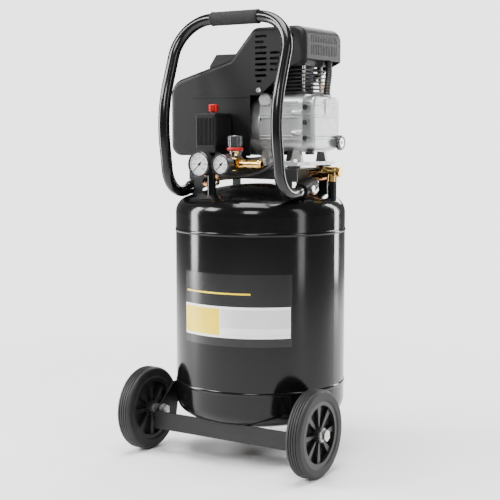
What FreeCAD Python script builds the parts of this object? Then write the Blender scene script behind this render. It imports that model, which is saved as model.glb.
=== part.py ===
import FreeCAD, Part
import math
import os

import Sketcher

# Upright air compressor, in millimetres. Z is up and the floor is Z = 0.
# The handle, gauges and wheels are on the -Y side; the pump crankcase is on the +X side.
# Every piece is drawn about the tank's axis; its Placement then moves it back by axis_y,
# so that the origin is the middle of the footprint.

doc = FreeCAD.newDocument("air_compressor")
sheet = doc.addObject("Spreadsheet::Sheet", "Dims")

SIZES = {
    # tank
    "tank_radius": 167.5, "tank_wall": 2.5, "seam_low": 149.0, "seam_high": 442.0,
    "flange_len": 37.0, "head_depth": 56.0, "knuckle_radius": 32.0,
    "bead_width": 7.0, "bead_proud": 1.3,
    # wheels
    "wheel_radius": 82.5, "wheel_back": 119.0, "wheel_mid": 193.0, "tyre_width": 31.0,
    "rim_radius": 61.0, "rim_width": 27.0, "rim_thick": 7.0, "hub_radius": 15.0,
    "hub_width": 34.0, "axle_radius": 6.0, "run_gap": 0.05, "web_thick": 4.0,
    "spoke_depth": 20.0, "washer_thick": 2.0, "washer_radius": 12.0, "bolt_head": 8.0,
    "bolt_across": 19.0, "end_play": 0.4,
    # lower frame
    "arm_outer": 160.0, "arm_thick": 4.0, "bar_front": 140.0, "bar_low": 48.0,
    "bar_high": 83.0, "bar_thick": 4.0, "foot_space": 65.0, "foot_back": 92.0,
    "foot_radius": 16.0, "foot_height": 18.0, "leg_thick": 4.0, "leg_half": 88.0,
    # pump platform
    "deck_top": 567.0, "deck_thick": 3.0, "deck_left": 123.0, "deck_right": 125.0,
    "deck_half": 70.0, "skirt_drop": 21.0, "leg_drop": 70.0, "leg_length": 31.0,
    # handle
    "tube_radius": 11.0, "tube_wall": 1.5, "handle_half": 127.0, "handle_low": 526.0, "socket_slope": 0.27,
    "socket_radius": 14.0, "socket_front": 58.0, "socket_back": 16.0,
    "foot_reach": 129.0, "leg_reach": 152.5, "elbow_height": 672.0, "handle_top": 850.0,
    "top_reach": 89.0, "foot_bend": 50.0, "elbow_bend": 240.0, "top_bend": 74.0,
    "grip_length": 106.0, "grip_radius": 13.6, "socket_gap": 0.2,
    # pump
    "crank_height": 648.0, "case_left": 36.0, "case_right": 121.0, "case_half": 60.0,
    "case_low": 600.0, "case_high": 706.0, "case_wall": 7.0, "flange_thick": 10.0,
    "cover_right": 149.0, "case_round": 16.0, "cylinder_x": 84.0, "bore_radius": 24.0,
    "sleeve_radius": 31.0, "barrel_top": 764.0, "fin_half": 40.0, "fin_thick": 2.4,
    "head_top": 800.0, "head_half": 40.0, "throw": 18.0, "pin_radius": 7.0,
    "shaft_radius": 8.5, "bearing_radius": 20.0, "bearing_width": 12.0,
    "foot_left": 43.6, "foot_right": 112.0, "foot_half": 60.0, "lug_width": 30.0,
    # motor
    "motor_left": -118.0, "stator_left": -92.0, "stator_right": 10.0,
    "stator_radius": 58.0, "rotor_radius": 33.0, "air_gap": 0.6, "fan_radius": 54.0,
    "fan_width": 20.0, "motor_shell": 3.0, "piston_gap": 0.06, "piston_height": 27.0,
    "rod_thick": 10.0, "rod_length": 80.0, "pin_length": 7.0, "piston_top": 762.0,
    # shroud
    "shroud_left": -167.0, "shroud_right": 142.0, "shroud_half": 73.0,
    "shroud_low": 586.0, "shroud_high": 832.0, "shroud_wall": 2.5, "shroud_round": 10.0,
    "shroud_step": 22.0,
    # air line
    "line_height": 575.0, "line_back": 112.0, "block_half": 13.0, "block_left": -62.0,
    "block_right": 24.0, "riser_x": -40.0, "pipe_radius": 8.5, "pipe_wall": 2.3,
    "nipple_x": 146.0, "nipple_y": 28.0, "valve_height": 559.0, "valve_radius": 10.5,
    "discharge_radius": 5.0, "unloader_radius": 3.0, "lead_radius": 3.5, "hose_radius": 6.8,
    "gauge_big": 23.5, "gauge_small": 19.0, "gauge_big_x": -41.0, "gauge_small_x": 8.0,
    "gauge_depth": 22.0, "gauge_wall": 1.6, "regulator_x": 14.0,
    "coupler_radius": 9.0, "switch_left": -63.0, "switch_right": -15.0,
    "switch_front": 135.0, "switch_back": 78.0, "switch_low": 597.0, "switch_high": 671.0,
    "knob_travel": 8.0, "body_gap": 0.4,
}
for row, (alias, number) in enumerate(SIZES.items(), start=1):
    sheet.set(f"A{row}", alias)
    sheet.set(f"B{row}", str(number))
    sheet.setAlias(f"B{row}", alias)
doc.recompute()


class Size:
    """A length with its value and the sheet expression that drives it."""

    def __init__(self, value, text):
        self.value = float(value)
        self.text = text

    @staticmethod
    def of(other):
        return other if isinstance(other, Size) else Size(other, f"{float(other)!r}")

    def join(self, other, sign, value):
        return Size(value, f"({self.text} {sign} {other.text})")

    def __add__(self, other):
        other = Size.of(other)
        return self.join(other, "+", self.value + other.value)

    def __sub__(self, other):
        other = Size.of(other)
        return self.join(other, "-", self.value - other.value)

    def __mul__(self, other):
        other = Size.of(other)
        return self.join(other, "*", self.value * other.value)

    def __truediv__(self, other):
        other = Size.of(other)
        return self.join(other, "/", self.value / other.value)

    def __radd__(self, other):
        return Size.of(other) + self

    def __rsub__(self, other):
        return Size.of(other) - self

    def __rmul__(self, other):
        return Size.of(other) * self

    def __neg__(self):
        return Size.of(0) - self


class Sheet:
    """Reads a named size from the sheet as a Size."""

    def __getattr__(self, alias):
        return Size(sheet.get(alias), f"Dims.{alias}")


d = Sheet()


def root(square):
    """Square root of a Size."""
    return Size(math.sqrt(square.value), f"sqrt({square.text})")


def bind(thing, prop, size):
    """Set a property and bind it to the sheet."""
    size = Size.of(size)
    if "." not in prop:
        setattr(thing, prop, size.value)
    thing.setExpression(prop, size.text)


def named(alias, size):
    """Keep a worked-out size in the sheet, so that later expressions stay short."""
    count = sheet.getContents("C1") or "0"
    sheet.set("C1", str(int(count) + 1))
    cell = f"D{int(count) + 1}"
    sheet.set(cell, "=" + size.text.replace("Dims.", ""))
    sheet.setAlias(cell, alias)
    return Size(size.value, f"Dims.{alias}")


AXIS_Y = named("axis_shift", (d.wheel_back + d.wheel_radius - d.tank_radius - d.bead_proud) / 2)
UP = (0, 0, 1)
DOWN = (0, 0, -1)
RIGHT = (1, 0, 0)
LEFT = (-1, 0, 0)
FRONT = (0, -1, 0)
BACK = (0, 1, 0)
nodes = {}
frame_bolts = []


def node(name, thing):
    """Register a sub-part under its file name."""
    thing.Label = name
    nodes[name] = thing
    return thing


def turn_to(towards):
    """Rotation that turns local Z to a direction."""
    return FreeCAD.Rotation(FreeCAD.Vector(0, 0, 1), FreeCAD.Vector(*towards))


def place(thing, x=0, y=0, z=0, towards=UP, shifted=True):
    """Put a thing at a point given about the tank's axis, with its Z turned to a direction."""
    thing.Placement = FreeCAD.Placement(FreeCAD.Vector(0, 0, 0), turn_to(towards))
    sideways = Size.of(y) + AXIS_Y if shifted else Size.of(y)
    bind(thing, "Placement.Base.x", x)
    bind(thing, "Placement.Base.y", sideways)
    bind(thing, "Placement.Base.z", z)
    return thing


def new_body(name):
    return doc.addObject("PartDesign::Body", name + "_body")


def sketch_on(body, plane="XZ", offset=0):
    """A sketch on one of the body's origin planes, moved along the plane's normal."""
    drawing = body.newObject("Sketcher::SketchObject", body.Name + "_sketch")
    faces = [item for item in body.Origin.OriginFeatures if item.Role == plane + "_Plane"]
    drawing.AttachmentSupport = [(faces[0], "")]
    drawing.MapMode = "FlatFace"
    bind(drawing, ".AttachmentOffset.Base.z", offset)
    return drawing


def fix_point(drawing, index, corner, x, y):
    """Pin a sketch point to two coordinates from the sheet."""
    for kind, size in (("DistanceX", Size.of(x)), ("DistanceY", Size.of(y))):
        made = drawing.addConstraint(Sketcher.Constraint(kind, -1, 1, index, corner, size.value))
        drawing.setExpression(f"Constraints[{made}]", size.text)


def arc_through(start, end, radius, turn):
    """The shorter arc between two points; turn 1 is counter-clockwise, -1 clockwise."""
    chord = end - start
    half = chord.Length / 2
    rise = math.sqrt(max(radius * radius - half * half, 0.0))
    side = FreeCAD.Vector(-chord.y, chord.x, 0).normalize()
    centre = (start + end) * 0.5 + side * rise * turn
    middle = centre + ((start + end) * 0.5 - centre).normalize() * radius
    if rise < 1e-9:
        middle = centre - side * radius * turn
    return Part.Arc(start, middle, end)


def outline(drawing, points):
    """A closed outline. A point is (x, y), or (x, y, radius, turn) when an arc leads to it."""
    spots = [FreeCAD.Vector(Size.of(p[0]).value, Size.of(p[1]).value, 0) for p in points]
    first = drawing.GeometryCount
    ends = []
    for i, point in enumerate(points):
        start, end = spots[i - 1], spots[i]
        if len(point) == 2:
            drawing.addGeometry(Part.LineSegment(start, end), False)
            ends.append((1, 2))
            continue
        radius = Size.of(point[2])
        drawing.addGeometry(arc_through(start, end, radius.value, point[3]), False)
        ends.append((1, 2) if point[3] > 0 else (2, 1))
        made = drawing.addConstraint(Sketcher.Constraint("Radius", first + i, radius.value))
        drawing.setExpression(f"Constraints[{made}]", radius.text)
    for i, point in enumerate(points):
        after = (i + 1) % len(points)
        join = Sketcher.Constraint("Coincident", first + i, ends[i][1], first + after, ends[after][0])
        drawing.addConstraint(join)
        fix_point(drawing, first + i, ends[i][1], point[0], point[1])
    return drawing


def circle(drawing, x, y, radius):
    """A circle pinned by its centre and radius."""
    radius = Size.of(radius)
    spot = FreeCAD.Vector(Size.of(x).value, Size.of(y).value, 0)
    index = drawing.addGeometry(Part.Circle(spot, FreeCAD.Vector(0, 0, 1), radius.value), False)
    made = drawing.addConstraint(Sketcher.Constraint("Radius", index, radius.value))
    drawing.setExpression(f"Constraints[{made}]", radius.text)
    fix_point(drawing, index, 3, x, y)
    return drawing


def rectangle(drawing, left, right, low, high):
    return outline(drawing, [(left, low), (right, low), (right, high), (left, high)])


def revolve(body, drawing):
    """A full turn about the sketch's vertical axis."""
    made = body.newObject("PartDesign::Revolution", body.Name + "_turned")
    made.Profile = drawing
    made.ReferenceAxis = (drawing, ["V_Axis"])
    made.Angle = 360
    return made


def pad(body, drawing, length, midplane=False, backwards=False):
    made = body.newObject("PartDesign::Pad", body.Name + "_pad")
    made.Profile = drawing
    bind(made, "Length", length)
    made.Midplane = midplane
    made.Reversed = backwards
    return made


def pocket(body, drawing, length=None, midplane=False, backwards=False):
    """A cut along the sketch's normal: to a depth, or right through both ways."""
    made = body.newObject("PartDesign::Pocket", body.Name + "_pocket")
    made.Profile = drawing
    if length is None:
        made.Type = 1
        made.Midplane = True
        return made
    bind(made, "Length", length)
    made.Midplane = midplane
    made.Reversed = backwards
    return made


def spun(name, points):
    """A body turned from an outline of (radius, height) points."""
    body = new_body(name)
    revolve(body, outline(sketch_on(body), points))
    return body


def turned(name, points, x=0, y=0, z=0, towards=UP):
    """A turned sub-part about a line through a point."""
    return place(node(name, spun(name, points)), x, y, z, towards)


def ring_points(inner, outer, low, high):
    return [(inner, low), (outer, low), (outer, high), (inner, high)]


def edges_where(shape, test):
    return [f"Edge{i}" for i, edge in enumerate(shape.Edges, start=1) if test(edge)]


def fillet(body, radius, test):
    """Round the tip's edges that pass a test."""
    doc.recompute()
    base = body.Tip
    made = body.newObject("PartDesign::Fillet", body.Name + "_round")
    made.Base = (base, edges_where(base.Shape, test))
    bind(made, "Radius", radius)
    return made


def along(edge, axis):
    """True for a straight edge along an axis."""
    if not isinstance(edge.Curve, Part.Line):
        return False
    return abs(abs(edge.Curve.Direction.dot(FreeCAD.Vector(*axis))) - 1) < 1e-6


def primitive(kind, name, x=0, y=0, z=0, towards=UP, **sizes):
    """A Part primitive at a point about the tank's axis."""
    made = doc.addObject("Part::" + kind, name)
    for prop, size in sizes.items():
        bind(made, prop, size)
    return place(made, x, y, z, towards, shifted=False)


def box(name, low, high):
    """A box between two corners."""
    spans = [Size.of(b) - Size.of(a) for a, b in zip(low, high)]
    return primitive("Box", name, *low, Length=spans[0], Width=spans[1], Height=spans[2])


def rod(name, x, y, z, towards, radius, length):
    return primitive("Cylinder", name, x, y, z, towards, Radius=radius, Height=length)


def fuse(name, things):
    made = doc.addObject("Part::MultiFuse", name)
    made.Shapes = things
    return made


def cut(name, base, tool):
    made = doc.addObject("Part::Cut", name)
    made.Base = base
    made.Tool = tool
    return made


def group(name, things):
    """A node of several separate solids."""
    made = doc.addObject("Part::Compound", name + "_group")
    made.Links = things
    return place(node(name, made))


def bolt(name, x, y, z, towards, across, head, radius, length):
    """A hexagon bolt whose head stands on a face and whose shank runs into it."""
    into = tuple(-value for value in towards)
    cap = primitive("Prism", name + "_cap", x, y, z, towards, Circumradius=across / 1.732, Height=head)
    cap.Polygon = 6
    return fuse(name, [cap, rod(name + "_shank", x, y, z, into, radius, length)])


def bent_tube(name, points, radius, wall=None, bends=None):
    """A round tube of straight runs joined by tangent arcs.

    The bend radii are given, or else each arc is as large as its two runs allow.
    """
    spots = [FreeCAD.Vector(*[Size.of(value).value for value in point]) for point in points]
    edges = []
    last = spots[0]
    for i in range(1, len(spots) - 1):
        corner = spots[i]
        back, on = spots[i - 1] - corner, spots[i + 1] - corner
        half_turn = (math.pi - back.getAngle(on)) / 2
        reach = 0.45 * min(back.Length, on.Length)
        bend = reach / math.tan(half_turn)
        if bends is not None:
            bend = bends[i - 1].value
            reach = bend * math.tan(half_turn)
        start = corner + back.normalize() * reach
        end = corner + on.normalize() * reach
        inward = (back + on).normalize()
        middle = corner + inward * (math.hypot(bend, reach) - bend)
        edges += [Part.LineSegment(last, start).toShape(), Part.Arc(start, middle, end).toShape()]
        last = end
        print(f"{name}: bend radius {bend:.1f}")
    edges.append(Part.LineSegment(last, spots[-1]).toShape())
    path = Part.Wire(edges)
    ahead = spots[1] - spots[0]
    solids = []
    for size in [radius] if wall is None else [radius, radius - wall]:
        rim = Part.Wire(Part.Circle(spots[0], ahead, size.value).toShape())
        solids.append(path.makePipeShell([rim], True, False))
    made = doc.addObject("Part::Feature", name + "_tube")
    made.Shape = solids[0] if wall is None else solids[0].cut(solids[1])
    return place(node(name, made))


# ---------------------------------------------------------------- tank


crown_radius = named("crown_radius", (
    d.tank_radius * d.tank_radius - 2 * d.tank_radius * d.knuckle_radius
    + d.head_depth * d.head_depth) / (2 * (d.head_depth - d.knuckle_radius)))
bead_radius = named("bead_radius", (
    d.bead_width * d.bead_width / 4 + d.bead_proud * d.bead_proud) / (2 * d.bead_proud))


def crown_meet(radius, knuckle, crown, top):
    """Where the crown's arc runs into the knuckle's arc: (radius, height above the flange)."""
    share = crown / (crown - knuckle)
    return (radius - knuckle) * share, (top - crown) - (top - crown) * share


def head_points(seam, sign):
    """Half section of a domed head: weld bead, straight flange, knuckle and crown."""
    flange = seam + sign * d.flange_len
    inner = d.tank_radius - d.tank_wall
    meet_x, meet_z = crown_meet(d.tank_radius, d.knuckle_radius, crown_radius, d.head_depth)
    in_knuckle = d.knuckle_radius - d.tank_wall
    in_crown = crown_radius - d.tank_wall
    in_depth = d.head_depth - d.tank_wall
    deep_x, deep_z = crown_meet(inner, in_knuckle, in_crown, in_depth)
    return [
        (0, flange + sign * in_depth),
        (deep_x, flange + sign * deep_z, in_crown, -sign),
        (inner, flange, in_knuckle, -sign),
        (inner, seam),
        (d.tank_radius, seam),
        (d.tank_radius, seam + sign * d.bead_width, bead_radius, sign),
        (d.tank_radius, flange),
        (meet_x, flange + sign * meet_z, d.knuckle_radius, sign),
        (0, flange + sign * d.head_depth, crown_radius, sign),
    ]


def tank_form():
    """The tank's outer form, which trims whatever is welded to it."""
    body = new_body("tank_form")
    meet_x, meet_z = crown_meet(d.tank_radius, d.knuckle_radius, crown_radius, d.head_depth)
    low = d.seam_low - d.flange_len
    high = d.seam_high + d.flange_len
    points = [
        (0, low - d.head_depth),
        (meet_x, low - meet_z, crown_radius, 1),
        (d.tank_radius, low, d.knuckle_radius, 1),
        (d.tank_radius, high),
        (meet_x, high + meet_z, d.knuckle_radius, 1),
        (0, high + d.head_depth, crown_radius, 1),
    ]
    revolve(body, outline(sketch_on(body), points))
    return body


tank_solid = tank_form()


def build_tank():
    shell = ring_points(d.tank_radius - d.tank_wall, d.tank_radius, d.seam_low, d.seam_high)
    turned("tank_shell", shell)
    top = turned("tank_top_head", head_points(d.seam_high, 1))
    holes = sketch_on(top, "XY", d.seam_high)
    circle(holes, d.riser_x, -d.line_back, d.pipe_radius)
    circle(holes, d.nipple_x, d.nipple_y, d.pipe_radius)
    pocket(top, holes, d.flange_len + d.head_depth, backwards=True)
    bottom = turned("tank_bottom_head", head_points(d.seam_low, -1))
    drain = sketch_on(bottom, "XY", d.seam_low)
    circle(drain, 0, 0, d.pipe_radius)
    pocket(bottom, drain, d.flange_len + d.head_depth)
    pipes = []
    for name, x, y, top_end in (
        ("riser", d.riser_x, -d.line_back, d.line_height - d.block_half),
        ("nipple", d.nipple_x, d.nipple_y, d.valve_height - d.valve_radius - 8),
    ):
        low_end = d.seam_high + d.flange_len
        outer = rod(name + "_outer", x, y, low_end, UP, d.pipe_radius, top_end - low_end)
        inner = rod(name + "_bore", x, y, low_end, UP, d.pipe_radius - d.pipe_wall, top_end - low_end)
        pipes.append(cut(name + "_pipe", outer, inner))
    group("tank_pipes", pipes)


build_tank()


# ---------------------------------------------------------------- wheels and lower frame


SIDES = (("left", -1, LEFT), ("right", 1, RIGHT))
SPOKES = 8
TREAD_GROOVES = (-7.5, -2.5, 2.5, 7.5)
GROOVE_HALF = 0.9
GROOVE_DEEP = 2.0
SHOULDER = 7.0


def build_rim(name, x, towards):
    """A moulded rim: hub, web and outer ring with wedge spokes on both faces."""
    body = new_body(name)
    bore = d.axle_radius + d.run_gap
    ring_in = d.rim_radius - d.rim_thick
    points = [
        (bore, -d.hub_width / 2), (d.hub_radius, -d.hub_width / 2),
        (d.hub_radius, -d.web_thick / 2), (ring_in, -d.web_thick / 2),
        (ring_in, -d.rim_width / 2), (d.rim_radius, -d.rim_width / 2),
        (d.rim_radius, d.rim_width / 2), (ring_in, d.rim_width / 2),
        (ring_in, d.web_thick / 2), (d.hub_radius, d.web_thick / 2),
        (d.hub_radius, d.hub_width / 2), (bore, d.hub_width / 2),
    ]
    revolve(body, outline(sketch_on(body), points))
    wedge = sketch_on(body, "XY")
    near = d.hub_radius - 1
    far = ring_in + 1
    outline(wedge, [(near, -1.6), (far, -6.0), (far, 6.0), (near, 1.6)])
    spoke = pad(body, wedge, d.spoke_depth, midplane=True)
    pattern = body.newObject("PartDesign::PolarPattern", name + "_spokes")
    pattern.Originals = [spoke]
    pattern.Axis = (wedge, ["N_Axis"])
    pattern.Angle = 360
    pattern.Occurrences = SPOKES
    body.Tip = pattern
    place(node(name, body), x, -d.wheel_back, d.wheel_radius, towards)


def tyre_points():
    """Half section of a solid rubber tyre with ribs round its tread."""
    half = d.tyre_width / 2
    tread = d.wheel_radius
    points = [(d.rim_radius, -d.rim_width / 2), (d.rim_radius + 4, -half)]
    points += [(tread - SHOULDER, -half), (tread, -half + SHOULDER, SHOULDER, 1)]
    for middle in TREAD_GROOVES:
        points += [(tread, middle - GROOVE_HALF), (tread - GROOVE_DEEP, middle - GROOVE_HALF / 2)]
        points += [(tread - GROOVE_DEEP, middle + GROOVE_HALF / 2), (tread, middle + GROOVE_HALF)]
    points += [(tread, half - SHOULDER), (tread - SHOULDER, half, SHOULDER, 1)]
    points += [(d.rim_radius + 4, half), (d.rim_radius, d.rim_width / 2)]
    return points


def build_wheels():
    hub_out = d.wheel_mid + d.hub_width / 2 + d.end_play / 2
    hub_in = d.wheel_mid - d.hub_width / 2 - d.end_play / 2
    arm_in = d.arm_outer - d.arm_thick
    bolts, nuts, washers = [], [], []
    for side, sign, towards in SIDES:
        build_rim(f"wheel_rim_{side}", sign * d.wheel_mid, towards)
        turned(f"tyre_{side}", tyre_points(), sign * d.wheel_mid, -d.wheel_back,
               d.wheel_radius, towards)
        head_face = sign * (hub_out + d.washer_thick)
        reach = hub_out + d.washer_thick - arm_in + d.washer_thick + d.bolt_head + 2
        spot = (-d.wheel_back, d.wheel_radius)
        bolts.append(bolt(f"axle_{side}", head_face, *spot, towards, d.bolt_across, d.bolt_head,
                          d.axle_radius, reach))
        nut = primitive("Prism", f"nut_{side}", sign * (arm_in - d.washer_thick - d.bolt_head),
                        *spot, towards, Circumradius=d.bolt_across / 1.732, Height=d.bolt_head)
        nut.Polygon = 6
        core = rod(f"nut_bore_{side}", 0, *spot, towards, d.axle_radius, d.wheel_mid * 2)
        nuts.append(cut(f"axle_nut_{side}", nut, core))
        spans = ((hub_out, d.washer_thick, d.washer_radius), (arm_in - d.washer_thick,
                 d.washer_thick, d.washer_radius), (d.arm_outer, hub_in - d.arm_outer, d.washer_radius - 2))
        for i, (start, length, radius) in enumerate(spans):
            disc = rod(f"washer_{side}{i}", sign * start, *spot, towards, radius, length)
            hole = rod(f"washer_bore_{side}{i}", 0, *spot, towards, d.axle_radius, d.wheel_mid * 2)
            washers.append(cut(f"axle_washer_{side}{i}", disc, hole))
    group("axle_bolts", bolts)
    group("axle_nuts", nuts + washers)


def build_lower_frame():
    body = new_body("wheel_bracket")
    bar = sketch_on(body, "XZ", d.bar_front - d.bar_thick)
    rectangle(bar, -d.arm_outer, d.arm_outer, d.bar_low, d.bar_high)
    pad(body, bar, d.bar_thick)
    arm = [
        (-d.bar_front, d.bar_low), (-d.wheel_back + 30, d.bar_low), (-d.wheel_back + 46, d.bar_low + 14),
        (-d.wheel_back + 52, d.wheel_radius + 8), (-d.wheel_back + 70, d.wheel_radius + 14),
        (-d.wheel_back + 70, d.wheel_radius + 50), (-d.wheel_back + 40, d.wheel_radius + 50),
        (-d.wheel_back - 7, d.bar_high + 10), (-d.bar_front, d.bar_high),
    ]
    for sign in (-1, 1):
        side = sketch_on(body, "YZ", sign * d.arm_outer)
        outline(side, arm)
        circle(side, -d.wheel_back, d.wheel_radius, d.axle_radius + d.body_gap)
        pad(body, side, d.arm_thick, backwards=sign > 0)
    place(node("wheel_bracket", cut("wheel_bracket", body, tank_solid)))
    legs = new_body("foot_bracket")
    edge = d.foot_back + d.foot_radius
    front = d.foot_back - d.foot_radius
    profile = [
        (front, d.foot_height), (edge, d.foot_height), (edge, d.seam_low - d.flange_len),
        (edge - d.leg_thick, d.seam_low - d.flange_len), (edge - d.leg_thick, d.foot_height + d.leg_thick),
        (front, d.foot_height + d.leg_thick),
    ]
    side = outline(sketch_on(legs, "YZ"), profile)
    pad(legs, side, 2 * d.leg_half, midplane=True)
    arch = sketch_on(legs, "XZ")
    gap = d.foot_space - d.foot_radius - 6
    rectangle(arch, -gap, gap, 0, d.foot_height + 34)
    pocket(legs, arch)
    holes = sketch_on(legs, "XY")
    for sign in (-1, 1):
        circle(holes, sign * d.foot_space, d.foot_back, d.axle_radius / 1.5)
    pocket(legs, holes, d.foot_height + 3 * d.leg_thick, backwards=True)
    place(node("foot_bracket", cut("foot_bracket", legs, tank_solid)))
    feet, screws = [], []
    for side, sign, _ in SIDES:
        spot = (sign * d.foot_space, d.foot_back)
        cone = primitive("Cone", f"foot_{side}", *spot, 0, Radius1=d.foot_radius,
                         Radius2=d.foot_radius - 3, Height=d.foot_height)
        hole = rod(f"foot_hole_{side}", *spot, d.foot_height - 12, UP, d.axle_radius / 1.5, 12)
        feet.append(cut(f"rubber_foot_{side}", cone, hole))
        screws.append(bolt(f"foot_screw_{side}", *spot, d.foot_height + d.leg_thick, UP, 13, 5,
                           d.axle_radius / 1.5, d.leg_thick + 12))
    group("rubber_feet", feet)
    frame_bolts.extend(screws)


build_wheels()
build_lower_frame()


# ---------------------------------------------------------------- platform and handle


FOOT_SPOTS = [(x, sign * d.foot_half) for x in (d.foot_left, d.foot_right) for sign in (-1, 1)]
HANDLE_PIN = 3.0


def build_platform():
    body = new_body("platform")
    plate = sketch_on(body, "XY", d.deck_top - d.deck_thick)
    rectangle(plate, -d.deck_left, d.deck_right, -d.deck_half, d.deck_half)
    for x, y in FOOT_SPOTS:
        circle(plate, x, y, 4)
    pad(body, plate, d.deck_thick)
    clear = d.handle_low + d.socket_radius + 2
    inset = d.leg_length - 12
    low = d.deck_top - d.leg_drop
    shallow = d.deck_top - d.skirt_drop
    points = [
        (-d.deck_left, d.deck_top - 1), (-d.deck_left, clear), (-d.deck_left + 12, clear),
        (-d.deck_left + 12, low), (-d.deck_left + 12 + inset, low), (-d.deck_left + 12 + inset, shallow),
        (d.deck_right - 12 - inset, shallow), (d.deck_right - 12 - inset, low),
        (d.deck_right - 12, low), (d.deck_right - 12, clear), (d.deck_right, clear),
        (d.deck_right, d.deck_top - 1),
    ]
    for side in (d.deck_half - d.deck_thick, -d.deck_half):
        pad(body, outline(sketch_on(body, "XZ", side), points), d.deck_thick)
    fillet(body, 2.5, lambda edge: along(edge, RIGHT) and edge.Length > 150
           and abs(edge.Vertexes[0].Z - d.deck_top.value) < 0.01)
    notch = sketch_on(body, "XY", d.deck_top - d.skirt_drop + 4)
    reach = d.valve_radius + 2
    rectangle(notch, d.nipple_x - 29, d.deck_right + 1, d.nipple_y - reach, d.nipple_y + reach)
    pocket(body, notch, d.skirt_drop, backwards=True)
    place(node("platform", cut("platform", body, tank_solid)))


def socket_height(y):
    """Height of a socket's axis at a distance in front of the tank's axis."""
    return d.handle_low + (d.socket_front - y) * d.socket_slope


def build_handle():
    sockets, pins = [], []
    slope = d.socket_slope.value
    outwards = (0, -1, -slope)
    stretch = math.hypot(1, slope)
    pin_y = d.socket_front - 14
    back_z = socket_height(d.socket_back)
    for side, sign, towards in SIDES:
        x = sign * d.handle_half
        length = (d.socket_front - d.socket_back) * stretch
        tube = rod(f"socket_{side}", x, -d.socket_back, back_z, outwards, d.socket_radius, length)
        web_low = (sign * (d.handle_half - 9.5) - 1.5, -d.socket_front, d.handle_low)
        web_high = (sign * (d.handle_half - 9.5) + 1.5, -d.socket_back, d.deck_top - d.deck_thick)
        solid = fuse(f"socket_web_{side}", [tube, box(f"web_{side}", web_low, web_high)])
        bore = rod(f"socket_bore_{side}", x, -d.socket_back + 10, back_z + 10 * slope, outwards,
                   d.tube_radius + d.socket_gap, length + 20)
        hole = rod(f"socket_pin_{side}", x, -pin_y, socket_height(pin_y), towards, HANDLE_PIN, 30)
        open_tube = cut(f"socket_open_{side}", solid, fuse(f"socket_cuts_{side}", [bore, hole]))
        sockets.append(cut(f"handle_socket_{side}", open_tube, tank_solid))
        pins.append(bolt(f"handle_pin_{side}", x + sign * d.socket_radius, -pin_y,
                         socket_height(pin_y), towards, 11, 5, HANDLE_PIN, 7))
    group("handle_sockets", sockets)
    frame_bolts.extend(pins)
    side = [
        (-d.socket_back - 3, socket_height(d.socket_back + 3)),
        (-d.foot_reach, socket_height(d.foot_reach)),
        (-d.leg_reach, d.elbow_height), (-d.top_reach, d.handle_top),
    ]
    points = [(d.handle_half, y, z) for y, z in side]
    points += [(-d.handle_half, y, z) for y, z in reversed(side)]
    bends = [d.foot_bend, d.elbow_bend, d.top_bend, d.top_bend, d.elbow_bend, d.foot_bend]
    tube = bent_tube("handle_tube", points, d.tube_radius, d.tube_wall, bends)
    start = FreeCAD.Vector(-200, -pin_y.value, socket_height(pin_y).value)
    tube.Shape = tube.Shape.cut(Part.makeCylinder(HANDLE_PIN, 400, start, FreeCAD.Vector(1, 0, 0)))
    place(tube)
    turned("handle_grip", ring_points(d.tube_radius, d.grip_radius, -d.grip_length / 2, d.grip_length / 2),
           0, -d.top_reach, d.handle_top, RIGHT)


build_platform()
build_handle()


# ---------------------------------------------------------------- pump


GROOVE_HEIGHTS = (16.0, 57.0, 84.0)
GROOVE_WIDE = 4.0
GROOVE_IN = 2.0
COVER_SCREW = 2.2
STUD = 3.0
STUD_HALF = 32.5
SIGHT_Y = 44.0
SIGHT_Z = 615.0
FIN_PITCH = 7.0
FINS = 6
FOOT_LIFT = 5.0


def rounded(drawing, half, low, high, radius):
    """A rectangle across Y = 0 with four round corners."""
    return outline(drawing, [
        (half - radius, low), (half, low + radius, radius, 1),
        (half, high - radius), (half - radius, high, radius, 1),
        (-half + radius, high), (-half, high - radius, radius, 1),
        (-half, low + radius), (-half + radius, low, radius, 1),
    ])


def band_grooves(body, left, right, half):
    """Shallow grooves round a casting at three heights."""
    for rise in GROOVE_HEIGHTS:
        ring = sketch_on(body, "XY", d.case_low + rise)
        rectangle(ring, left - 5, right + 5, -half - 5, half + 5)
        rectangle(ring, left + GROOVE_IN, right - GROOVE_IN, -half + GROOVE_IN, half - GROOVE_IN)
        pocket(body, ring, GROOVE_WIDE, backwards=True)


def cover_screw_spots():
    side = d.case_half - d.case_wall / 2
    heights = (d.case_low + 24, (d.case_low + d.case_high) / 2, d.case_high - 24)
    return [(sign * side, height) for sign in (-1, 1) for height in heights]


def stud_spots():
    return [(d.cylinder_x + a * STUD_HALF, b * STUD_HALF) for a in (-1, 1) for b in (-1, 1)]


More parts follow.
